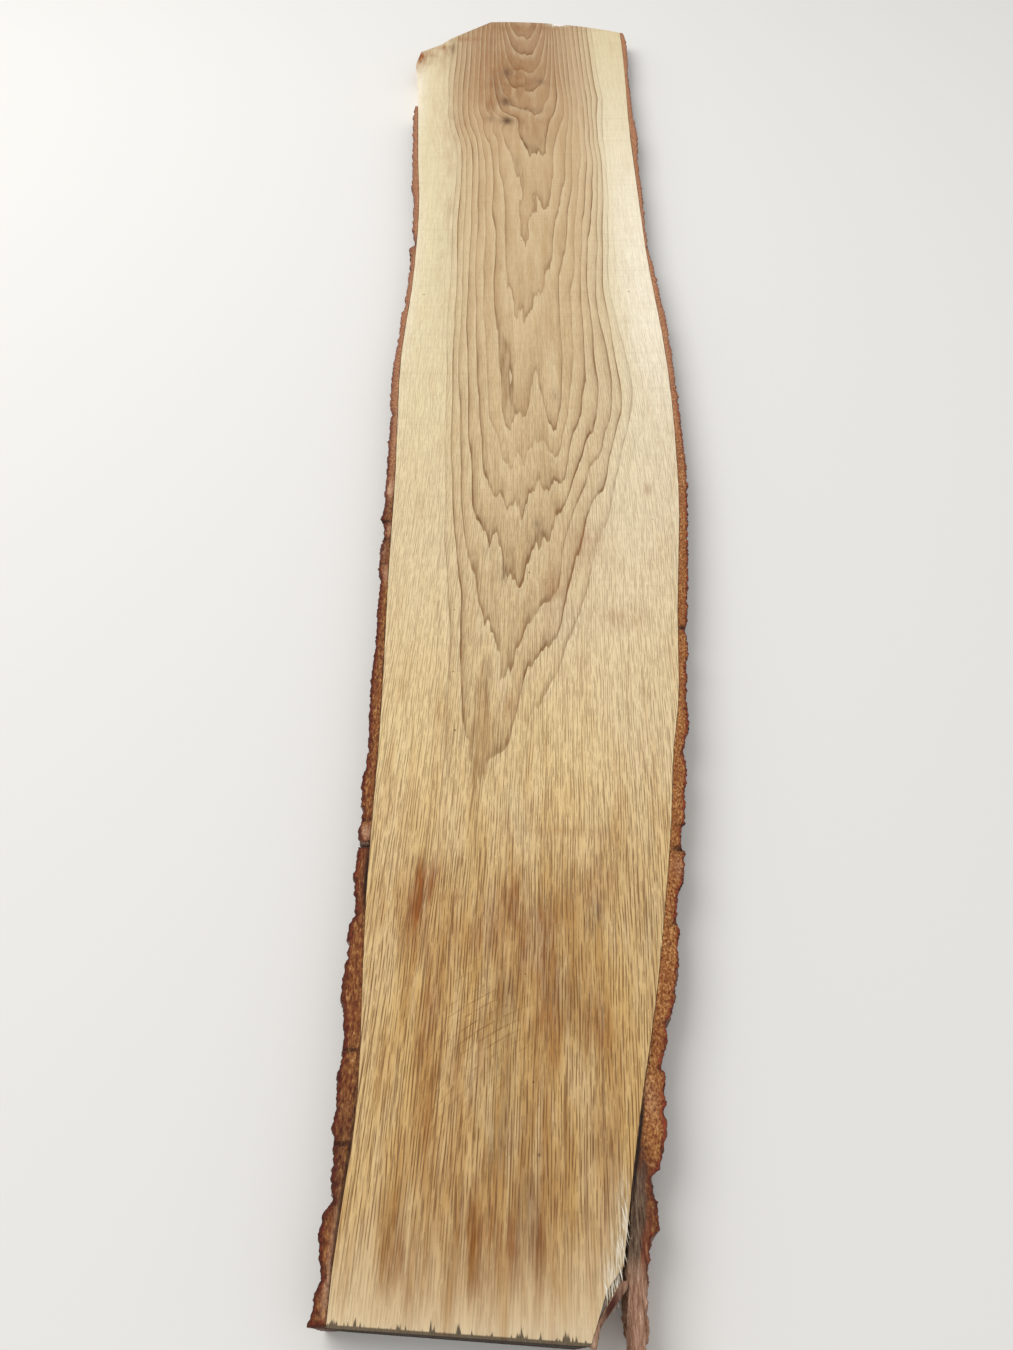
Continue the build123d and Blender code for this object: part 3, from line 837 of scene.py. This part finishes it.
def bark_material(settings):
    """Oak bark, sawn across on top and rough outside.

    It gives a granular orange brown cut face with a ragged dark red rim, grey brown where it has
    peeled off and weathered, and a dark, dull, cracked outside.
    """
    material = bpy.data.materials.new("oak_bark")
    material.use_nodes = True
    tree = material.node_tree
    tree.nodes.clear()
    texture_place = add_node(tree, "TexCoord")
    place = texture_place.outputs["Object"]
    kept = {name: add_node(tree, "Attribute", attribute_name=name).outputs["Fac"]
            for name in ("depth", "rim", "crack_shade", "fair", "dim", "worn", "shadowed_gap", "moss")}
    upward = add_node(tree, "SeparateXYZ", {0: texture_place.outputs["Normal"]}).outputs["Z"]

    # Noise in the bark: the sizes of its spots in millimetres, and its detail
    spotted = {}
    for name, sizes, detail in (
        ("grit", (1.6, 2.6, 1.6), 3.0), ("left grit", (1.5, 5, 1.5), 3.0), ("lanes", (9, 34, 9), 2.0),
        ("rim", (3.4, 5, 3.4), 3.0), ("blotchy rim", (2.2, 3.2, 2.2), 3.0), ("strands", (1.8, 14, 1.8), 4.0),
        ("worn", (5, 12, 5), 3.0), ("plates", (6, 14, 6), 4.0),
    ):
        scaled = add_node(tree, "Mapping", {"Vector": place, "Scale": per_mm(*sizes)}).outputs[0]
        spotted[name] = add_node(tree, "TexNoise", {
            "Vector": scaled, "Scale": 1.0, "Detail": detail, "Roughness": 0.65,
        }).outputs[0]

    # Stone cells in the cut bark: grains about 2 mm across, drawn out along the darker left side
    grit = spotted["grit"]
    right_cut = add_node(tree, "ValToRGB", {0: grit}, stops=[
        (0.3, "4A2412"), (0.43, "8A5028"), (0.55, "AC7440"), (0.64, "C8945A"), (0.76, "E8C496"),
    ]).outputs[0]
    left_cut = add_node(tree, "ValToRGB", {0: spotted["left grit"]}, stops=[
        (0.3, "32140C"), (0.43, "703E22"), (0.55, "946034"), (0.64, "B27E48"), (0.76, "DCB480"),
    ]).outputs[0]
    far_cut = add_node(tree, "ValToRGB", {0: grit}, stops=[
        (0.3, "6E4230"), (0.43, "A06A48"), (0.55, "B98460"), (0.64, "CC9C7A"), (0.76, "E4C0A2"),
    ]).outputs[0]
    split = add_node(tree, "SeparateXYZ", {0: place})
    cut = add_node(tree, "Mix", {
        "Factor": add_node(tree, "MapRange", {
            "Value": split.outputs["X"], "From Min": -0.01, "From Max": 0.01,
        }, interpolation_type="SMOOTHSTEP").outputs[0],
        6: left_cut, 7: right_cut,
    }, data_type="RGBA").outputs[2]
    cut = add_node(tree, "Mix", {
        "Factor": add_node(tree, "MapRange", {
            "Value": spotted["lanes"], "From Min": 0.42, "From Max": 0.62, "To Min": 0.0, "To Max": 0.35,
        }, interpolation_type="SMOOTHSTEP").outputs[0],
        6: cut, 7: tuple(settings.cut_lanes),
    }, data_type="RGBA").outputs[2]
    cut = add_node(tree, "Mix", {
        "Factor": add_node(tree, "MapRange", {
            "Value": split.outputs["Y"], "From Min": -0.5, "From Max": -0.05, "To Min": 0.0, "To Max": 0.8,
        }, interpolation_type="SMOOTHSTEP").outputs[0],
        6: cut, 7: far_cut,
    }, data_type="RGBA").outputs[2]
    for places, low, high, least, shade in (
        (kept["fair"], 0.35, 0.6, 0.4, "D8AC8A"), (kept["moss"], 0.4, 0.6, 0.3, "8E8238"),
    ):
        grainy = add_node(tree, "MapRange", {
            "Value": grit, "From Min": low, "From Max": high, "To Min": least, "To Max": 1.0,
        }, interpolation_type="SMOOTHSTEP").outputs[0]
        patch = add_node(tree, "Math", {
            0: places, 1: grainy,
        }, operation="MULTIPLY", use_clamp=True).outputs[0]
        cut = add_node(tree, "Mix", {
            "Factor": patch, 6: cut, 7: linear(shade),
        }, data_type="RGBA").outputs[2]

    # The outermost 3 to 4 mm of the cut is dark red, wider on the left, with a ragged border
    ragged = add_node(tree, "Math", {
        0: add_node(tree, "Math", {
            0: spotted["rim"], 1: 0.5,
        }, operation="SUBTRACT").outputs[0],
        1: 0.01, 2: kept["rim"],
    }, operation="MULTIPLY_ADD").outputs[0]
    wide = add_node(tree, "MapRange", {
        "Value": split.outputs["X"], "From Min": -0.01, "From Max": 0.01, "To Min": 0.0052, "To Max": 0.004,
    }, interpolation_type="SMOOTHSTEP").outputs[0]
    skin = add_node(tree, "MapRange", {
        "Value": ragged, "From Min": wide,
        "From Max": add_node(tree, "Math", {0: wide, 1: 0.5}, operation="MULTIPLY").outputs[0],
    }, interpolation_type="SMOOTHSTEP").outputs[0]
    red = add_node(tree, "Mix", {
        "Factor": add_node(tree, "MapRange", {
            "Value": spotted["blotchy rim"], "From Min": 0.36, "From Max": 0.62,
        }, interpolation_type="SMOOTHSTEP").outputs[0],
        6: linear("40130C"), 7: tuple(settings.red_rim),
    }, data_type="RGBA").outputs[2]
    left = add_node(tree, "MapRange", {
        "Value": split.outputs["X"], "From Min": 0.01, "From Max": -0.01,
    }, interpolation_type="SMOOTHSTEP").outputs[0]
    red = add_node(tree, "Mix", {
        "Factor": add_node(tree, "Math", {
            0: left,
            1: add_node(tree, "MapRange", {
                "Value": kept["rim"], "From Min": 0.0026, "From Max": 0.0008, "To Min": 0.35,
                "To Max": 0.85,
            }, interpolation_type="SMOOTHSTEP").outputs[0],
        }, operation="MULTIPLY").outputs[0],
        6: red, 7: linear("3A120D"),
    }, data_type="RGBA").outputs[2]
    far_red = add_node(tree, "Mix", {
        "Factor": add_node(tree, "MapRange", {
            "Value": grit, "From Min": 0.4, "From Max": 0.6,
        }, interpolation_type="SMOOTHSTEP").outputs[0],
        6: linear("7A4434"), 7: linear("A87460"),
    }, data_type="RGBA").outputs[2]
    red = add_node(tree, "Mix", {
        "Factor": add_node(tree, "MapRange", {
            "Value": split.outputs["Y"], "From Min": -0.4, "From Max": 0.0,
        }, interpolation_type="SMOOTHSTEP").outputs[0],
        6: red, 7: far_red,
    }, data_type="RGBA").outputs[2]
    cut = add_node(tree, "Mix", {
        "Factor": add_node(tree, "Math", {
            0: skin,
            1: add_node(tree, "MapRange", {
                "Value": split.outputs["Y"], "From Min": -0.5, "From Max": 0.1, "To Min": 0.9,
                "To Max": 0.6,
            }, interpolation_type="SMOOTHSTEP").outputs[0],
        }, operation="MULTIPLY").outputs[0],
        6: cut, 7: red,
    }, data_type="RGBA").outputs[2]

    # Peeled bark shows grey brown fibres, pinker at the tail's tip and russet on its outer part
    peeled = add_node(tree, "ValToRGB", {0: spotted["strands"]}, stops=[
        (0.32, "2E2018"), (0.46, "5C4636"), (0.58, "7A6450"), (0.74, "B49A7C"),
    ]).outputs[0]
    pinkish = add_node(tree, "ValToRGB", {0: spotted["strands"]}, stops=[
        (0.3, "5A3E30"), (0.45, "967058"), (0.58, "B28E76"), (0.74, "D8BAA4"),
    ]).outputs[0]
    russet = add_node(tree, "ValToRGB", {0: spotted["strands"]}, stops=[
        (0.3, "35150C"), (0.46, "6A3420"), (0.6, "8A4C30"), (0.76, "B98058"),
    ]).outputs[0]
    tail = add_node(tree, "MapRange", {
        "Value": split.outputs["Y"], "From Min": NEAR_END + 0.045, "From Max": NEAR_END + 0.02,
    }, interpolation_type="SMOOTHSTEP").outputs[0]
    weathered = add_node(tree, "Mix", {
        "Factor": tail, 6: peeled, 7: pinkish,
    }, data_type="RGBA").outputs[2]
    outer_part = add_node(tree, "MapRange", {
        "Value": add_node(tree, "Math", {
            0: add_node(tree, "Math", {0: spotted["lanes"], 1: 0.5}, operation="SUBTRACT").outputs[0],
            1: 0.012, 2: kept["depth"],
        }, operation="MULTIPLY_ADD").outputs[0],
        "From Min": 0.009, "From Max": 0.013,
    }, interpolation_type="SMOOTHSTEP").outputs[0]
    outer_part = add_node(tree, "Math", {
        0: outer_part,
        1: add_node(tree, "MapRange", {
            "Value": tail, "From Min": 0.0, "From Max": 1.0, "To Min": 0.85, "To Max": 0.15,
        }, interpolation_type="SMOOTHSTEP").outputs[0],
    }, operation="MULTIPLY").outputs[0]
    weathered = add_node(tree, "Mix", {
        "Factor": outer_part, 6: weathered, 7: russet,
    }, data_type="RGBA").outputs[2]
    worn = add_node(tree, "MapRange", {
        "Value": add_node(tree, "Math", {
            0: add_node(tree, "Math", {
                0: spotted["worn"], 1: 0.5,
            }, operation="SUBTRACT").outputs[0],
            1: 1.4, 2: kept["worn"],
        }, operation="MULTIPLY_ADD").outputs[0],
        "From Min": 0.2, "From Max": 0.8,
    }, interpolation_type="SMOOTHSTEP").outputs[0]
    cut = add_node(tree, "Mix", {
        "Factor": worn, 6: cut, 7: weathered,
    }, data_type="RGBA").outputs[2]

    # Dim stretches, painted shadow in the gap where the bark has come away from the wood, and painted shade
    # in its breaks
    dim = add_node(tree, "Math", {
        0: kept["dim"], 1: 0.8,
    }, operation="MULTIPLY", use_clamp=True).outputs[0]
    # Painted shadow: near black against the wood's side where the bark has come away from it
    gap_shadow = add_node(tree, "Math", {
        0: add_node(tree, "MapRange", {
            "Value": kept["depth"], "From Min": 0.0042, "From Max": 0.0012,
        }, interpolation_type="SMOOTHSTEP").outputs[0],
        1: kept["shadowed_gap"],
    }, operation="MULTIPLY", use_clamp=True).outputs[0]
    # Painted shade: near black in the bark's breaks, over their sunk geometry
    crack_shade = add_node(tree, "Math", {
        0: kept["crack_shade"], 1: 0.9,
    }, operation="MULTIPLY", use_clamp=True).outputs[0]
    for share, shade in ((dim, "47231A"), (gap_shadow, "24160F"), (crack_shade, "2A140E")):
        cut = add_node(tree, "Mix", {
            "Factor": share, 6: cut, 7: linear(shade),
        }, data_type="RGBA").outputs[2]

    # The rough outside: red brown plates with grey weathered tops, dark in their cracks, where darker bark
    # and painted shade are one colour
    outside = add_node(tree, "ValToRGB", {0: spotted["plates"]}, stops=[
        (0.3, "291913"), (0.46, "573A2E"), (0.6, "7D6152"), (0.75, "A39487"),
    ]).outputs[0]
    outside = add_node(tree, "Mix", {
        "Factor": worn, 6: outside, 7: weathered,
    }, data_type="RGBA").outputs[2]
    level = add_node(tree, "Math", {0: upward}, operation="ABSOLUTE").outputs[0]
    sawn = add_node(tree, "MapRange", {
        "Value": level, "From Min": 0.7, "From Max": 0.9,
    }, interpolation_type="SMOOTHSTEP").outputs[0]
    colour = add_node(tree, "Mix", {
        "Factor": sawn, 6: outside, 7: cut,
    }, data_type="RGBA").outputs[2]
    upright = add_node(tree, "MapRange", {
        "Value": level, "From Min": 0.9, "From Max": 0.7,
    }, interpolation_type="SMOOTHSTEP").outputs[0]
    plates = add_node(tree, "Math", {0: spotted["plates"], 1: upright}, operation="MULTIPLY").outputs[0]
    relief = add_node(tree, "Math", {0: grit, 1: plates}, operation="ADD").outputs[0]
    bump = add_node(tree, "Bump", {"Strength": 0.9, "Distance": 0.0018, "Height": relief})
    shader = add_node(tree, "BsdfPrincipled", {
        "Base Color": colour, "Roughness": 0.88, "Specular IOR Level": 0.25, "Normal": bump.outputs[0],
    })
    add_node(tree, "OutputMaterial", {0: shader.outputs[0]})
    return material


class BOARD_OT_sawn_board(bpy.types.Operator):
    """Models the sawn wood over its CAD node and gives it its rings and stains"""

    bl_idname = "oak_board.sawn_board"
    bl_label = "Sawn board"

    def execute(self, context):
        settings = context.scene.oak_wood
        piece = copy_of_node("board", "sawn_board")
        bpy.ops.object.mode_set(mode="EDIT")
        for axis, step in enumerate((settings.face_step * 0.75, settings.face_step, THICKNESS_STEP)):
            direction = [0.0, 0.0, 0.0]
            direction[axis] = 1.0
            position = board_low[axis] + step
            while position < board_high[axis] - step * 0.3:
                point = [0.0, 0.0, 0.0]
                point[axis] = position
                bpy.ops.mesh.select_all(action="SELECT")
                bpy.ops.mesh.bisect(plane_co=point, plane_no=direction)
                position += step
        bpy.ops.object.mode_set(mode="OBJECT")
        points = coordinates(piece)
        y = (points[:, 1] - NEAR_END) / MM
        lean = eased(y, [0, 300, 800, 2400], [-34, -20, 0, 0], 80) * MM
        grain = points.copy()
        grain[:, 0] -= lean
        store(piece, "grain", grain)
        sizes = (settings.pith_depth, settings.ring_width)
        ring = ring_number(points, *sizes)
        store(piece, "ring", ring)
        # Rings a millimetre to the side: their edges are ragged where the rings lie flat in the face
        steep = np.abs(ring_number(points + np.array([MM, 0.0, 0.0]), *sizes) - ring)
        ragged = 0.05 + 0.4 / (1.0 + (steep / 0.03) ** 2)
        store(piece, "ragged", ragged * np.interp(y, [1700, 1950], [1.0, 0.3]))
        for name, places in (
            ("stain", STAINS), ("smudge", SMUDGES), ("pale", PALE), ("arcs", ARCS), ("dusk", DUSK),
            ("torn", TORN), ("knots", KNOTS),
        ):
            store(piece, name, spots(points, places))
        piece.data.materials.append(oak_material(settings))
        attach(piece, "root")
        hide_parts("board")
        return {"FINISHED"}


class BOARD_OT_splinters(bpy.types.Operator):
    """Models the pale fibres that stand out along the torn corner"""

    bl_idname = "oak_board.splinters"
    bl_label = "Torn fibres"

    def execute(self, context):
        material = bpy.data.materials.new("torn_oak_fibre")
        material.use_nodes = True
        tree = material.node_tree
        shader = tree.nodes["Principled BSDF"]
        place = add_node(tree, "TexCoord").outputs["Object"]
        scaled = add_node(tree, "Mapping", {
            "Vector": place, "Scale": per_mm(1.2, 9, 1.2),
        }).outputs[0]
        streak = add_node(tree, "TexNoise", {
            "Vector": scaled, "Scale": 1.0, "Detail": 2.0,
        }).outputs[0]
        tone = add_node(tree, "ValToRGB", {0: streak}, stops=[(0.35, "BCA888"), (0.6, "F0E8D8")]).outputs[0]
        tree.links.new(tone, shader.inputs["Base Color"])
        shader.inputs["Roughness"].default_value = 0.9
        shader.inputs["Specular IOR Level"].default_value = 0.2

        dice = random.Random(4)
        curve = bpy.data.curves.new("torn_fibres", "CURVE")
        curve.dimensions = "3D"
        curve.bevel_depth = 0.0006
        curve.bevel_resolution = 0
        curve.use_fill_caps = True
        for step in range(STRANDS):
            share = step / (STRANDS - 1)
            x = np.interp(share, [0.0, 0.55, 1.0], [52.0, 45.0, 34.0])
            y = np.interp(share, [0.0, 0.55, 1.0], [78.0, 33.0, 20.0])
            z = TOP / MM + dice.uniform(-4.0, 0.3)
            length = dice.uniform(10.0, 26.0)
            out = dice.uniform(-0.5, 3.0)
            strand = curve.splines.new("POLY")
            strand.points.add(3)
            for point, (dx, dy, dz, radius) in zip(strand.points, (
                (-2.5, length * 0.35, -0.6, 0.8), (-0.4, 0.0, 0.0, 1.0),
                (out * 0.5, -length * 0.4, -0.4, 0.7), (out, -length * 0.65, -1.2, 0.15),
            )):
                point.co = ((x + dx) * MM, NEAR_END + (y + dy) * MM, (z + dz) * MM, 1.0)
                point.radius = radius
        deselect_all()
        piece = bpy.data.objects.new("torn_fibres", curve)
        context.collection.objects.link(piece)
        context.view_layer.objects.active = piece
        piece.select_set(True)
        bpy.ops.object.convert(target="MESH")
        piece = context.object
        piece.data.materials.clear()
        piece.data.materials.append(material)
        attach(piece, "root")
        return {"FINISHED"}


class BOARD_OT_bark(bpy.types.Operator):
    """Models the bark over its CAD nodes, with ridged plates on its outside"""

    bl_idname = "oak_board.bark"
    bl_label = "Bark"

    def execute(self, context):
        settings = context.scene.oak_bark
        material = bark_material(settings)
        wood = bmesh.new()
        wood.from_mesh(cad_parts["board"].data)
        wood_faces = BVHTree.FromBMesh(wood)
        for node, outwards, grid in (
            ("bark_left_far", -1, settings.grid),
            ("bark_left_near", -1, settings.grid * 0.7),
            ("bark_right", 1, settings.grid),
            ("bark_sliver", 1, settings.grid * 0.6),
        ):
            piece = copy_of_node(node, node + "_rough")
            outer_faces = self.outer_faces(piece, wood_faces)
            apply_modifier(piece, "REMESH", mode="VOXEL", voxel_size=grid)
            points = coordinates(piece)
            depth = np.array([wood_faces.find_nearest(Vector(p))[3] for p in points])
            rim = np.array([outer_faces.find_nearest(Vector(p))[3] for p in points])
            store(piece, "depth", depth)
            store(piece, "rim", rim)
            for name, places in (
                ("crack_shade", CRACKS), ("fair", FAIR_BARK), ("dim", DIM_BARK), ("worn", WORN_BARK), ("shadowed_gap", SHADOWED_GAPS),
                ("moss", MOSS),
            ):
                store(piece, name, spots(points, places))
            free = np.clip((depth - 0.0015) / 0.003, 0.0, 1.0)
            self.weigh(piece, "outside", free * np.clip(1.0 - rim / 0.006, 0.0, 1.0))
            sawn_top = np.clip((points[:, 2] - TOP) / 0.012 + 1.0, 0.0, 1.0)
            self.weigh(piece, "cracked", free * sawn_top * np.clip(spots(points, CRACKS), 0.0, 1.0))
            if node != "bark_sliver":
                self.roughen(piece, outwards, settings)
            piece.data.materials.append(material)
            for polygon in piece.data.polygons:
                polygon.use_smooth = True
            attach(piece, "root")
            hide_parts(node)
        wood.free()
        return {"FINISHED"}

    def outer_faces(self, piece, wood_faces):
        """The piece's upright faces that don't lie against the wood."""
        shell = bmesh.new()
        shell.from_mesh(piece.data)
        inner = [face for face in shell.faces if abs(face.normal.z) > 0.6
                 or wood_faces.find_nearest(face.calc_center_median())[3] < 0.001]
        bmesh.ops.delete(shell, geom=inner, context="FACES")
        tree = BVHTree.FromBMesh(shell)
        shell.free()
        return tree

    def weigh(self, piece, name, weights):
        """Keeps the weights as a vertex group."""
        group = piece.vertex_groups.new(name=name)
        for index in np.flatnonzero(weights > 0.01):
            group.add([int(index)], float(weights[index]), "REPLACE")

    def roughen(self, piece, outwards, settings):
        """Pushes the outside out in plates, lumps and grit, in at their cracks, and sinks the breaks."""
        for kind, sizes, height, level in (
            ("VORONOI", (0.02, settings.plate_length, settings.plate_width), settings.ridge_height, 0.3),
            ("CLOUDS", (0.008, 0.009, 0.008), settings.ridge_height, 0.5),
            ("CLOUDS", (0.003, 0.0032, 0.003), settings.ridge_height * 0.7, 0.4),
        ):
            stretch = bpy.data.objects.new("stretch", None)
            bpy.context.collection.objects.link(stretch)
            stretch.scale = sizes
            bpy.context.view_layer.update()
            texture = bpy.data.textures.new("relief", kind)
            texture.noise_scale = 1.0
            if kind == "VORONOI":
                texture.weight_1 = -1.0
                texture.weight_2 = 1.0
            else:
                texture.noise_depth = 2
            apply_modifier(piece, "DISPLACE", texture=texture, texture_coords="OBJECT",
                           texture_coords_object=stretch, direction="X", strength=outwards * height,
                           mid_level=level, vertex_group="outside")
            bpy.data.textures.remove(texture)
            bpy.data.objects.remove(stretch)
        apply_modifier(piece, "DISPLACE", direction="Z", strength=-BREAK_DEPTH, mid_level=0.0,
                       vertex_group="cracked")


class BOARD_OT_stage(bpy.types.Operator):
    """Makes the floor, the soft light and the camera over the narrow end"""

    bl_idname = "oak_board.stage"
    bl_label = "Stage"

    def execute(self, context):
        settings = context.scene.oak_stage
        scene = context.scene
        deselect_all()
        bpy.ops.mesh.primitive_plane_add(size=40.0, location=(0.0, 0.0, 0.0))
        floor = context.object
        floor.name = "floor"
        material = bpy.data.materials.new("pale_floor")
        material.use_nodes = True
        shader = material.node_tree.nodes["Principled BSDF"]
        shader.inputs["Base Color"].default_value = settings.floor_colour
        shader.inputs["Roughness"].default_value = 0.9
        shader.inputs["Specular IOR Level"].default_value = 0.1
        floor.data.materials.append(material)

        world = bpy.data.worlds.new("soft_sky")
        world.use_nodes = True
        tree = world.node_tree
        tree.nodes.clear()
        rays = add_node(tree, "LightPath")
        seen = add_node(tree, "Math", {
            0: rays.outputs["Is Camera Ray"], 1: rays.outputs["Is Glossy Ray"],
        }, operation="MAXIMUM")
        seen = add_node(tree, "Math", {
            0: seen.outputs[0], 1: rays.outputs["Is Transmission Ray"],
        }, operation="MAXIMUM")
        light = add_node(tree, "Background", {"Color": (1.0, 1.0, 1.0, 1.0), "Strength": 0.7})
        backdrop = add_node(tree, "Background", {"Color": linear("F2F1EF"), "Strength": 1.0})
        mixed = add_node(tree, "MixShader", {
            0: seen.outputs[0], 1: light.outputs[0], 2: backdrop.outputs[0],
        })
        add_node(tree, "OutputWorld", {0: mixed.outputs[0]})
        scene.world = world

        # One large soft lamp from the upper left
        lamp = bpy.data.lights.new("soft_box", "AREA")
        lamp.shape = "SQUARE"
        lamp.size = 3.0
        lamp.energy = 90.0
        holder = bpy.data.objects.new("soft_box", lamp)
        holder.location = (-2.2, 0.6, 3.2)
        towards_board = Vector((0.0, 0.0, 0.0)) - holder.location
        holder.rotation_euler = towards_board.to_track_quat("-Z", "Y").to_euler()
        scene.collection.objects.link(holder)

        camera = bpy.data.cameras.new("camera")
        camera.sensor_width = 36.0
        camera.lens = settings.focal_pixels / PICTURE_HEIGHT * camera.sensor_width
        camera.clip_start = 0.01
        eye = bpy.data.objects.new("camera", camera)
        eye.location = (settings.camera_side, NEAR_END - settings.camera_back, TOP + settings.camera_height)
        eye.rotation_euler = (math.pi / 2 - settings.camera_tilt, 0.0, 0.0)
        scene.collection.objects.link(eye)
        scene.camera = eye
        scene.view_settings.view_transform = "Standard"
        return {"FINISHED"}


class BOARD_PT_sidebar(bpy.types.Panel):
    """The board's sizes, colours and steps"""

    bl_label = "Oak board"
    bl_space_type = "VIEW_3D"
    bl_region_type = "UI"
    bl_category = "Oak board"

    def draw(self, context):
        layout = self.layout
        for group in (context.scene.oak_stage, context.scene.oak_wood, context.scene.oak_bark):
            for name in group.__annotations__:
                layout.prop(group, name)
        for operator in (BOARD_OT_stage, BOARD_OT_sawn_board, BOARD_OT_splinters, BOARD_OT_bark):
            layout.operator(operator.bl_idname)


CLASSES = (WoodSettings, BarkSettings, StageSettings, BOARD_OT_sawn_board, BOARD_OT_splinters, BOARD_OT_bark,
           BOARD_OT_stage, BOARD_PT_sidebar)


def register():
    for cls in CLASSES:
        bpy.utils.register_class(cls)
    bpy.types.Scene.oak_wood = PointerProperty(type=WoodSettings)
    bpy.types.Scene.oak_bark = PointerProperty(type=BarkSettings)
    bpy.types.Scene.oak_stage = PointerProperty(type=StageSettings)


def unregister():
    del bpy.types.Scene.oak_wood
    del bpy.types.Scene.oak_bark
    del bpy.types.Scene.oak_stage
    for cls in reversed(CLASSES):
        bpy.utils.unregister_class(cls)


def main():
    """Makes the stage and the pieces in order."""
    register()
    bpy.ops.oak_board.stage()
    bpy.ops.oak_board.sawn_board()
    bpy.ops.oak_board.splinters()
    bpy.ops.oak_board.bark()


if __name__ == "__main__":
    main()
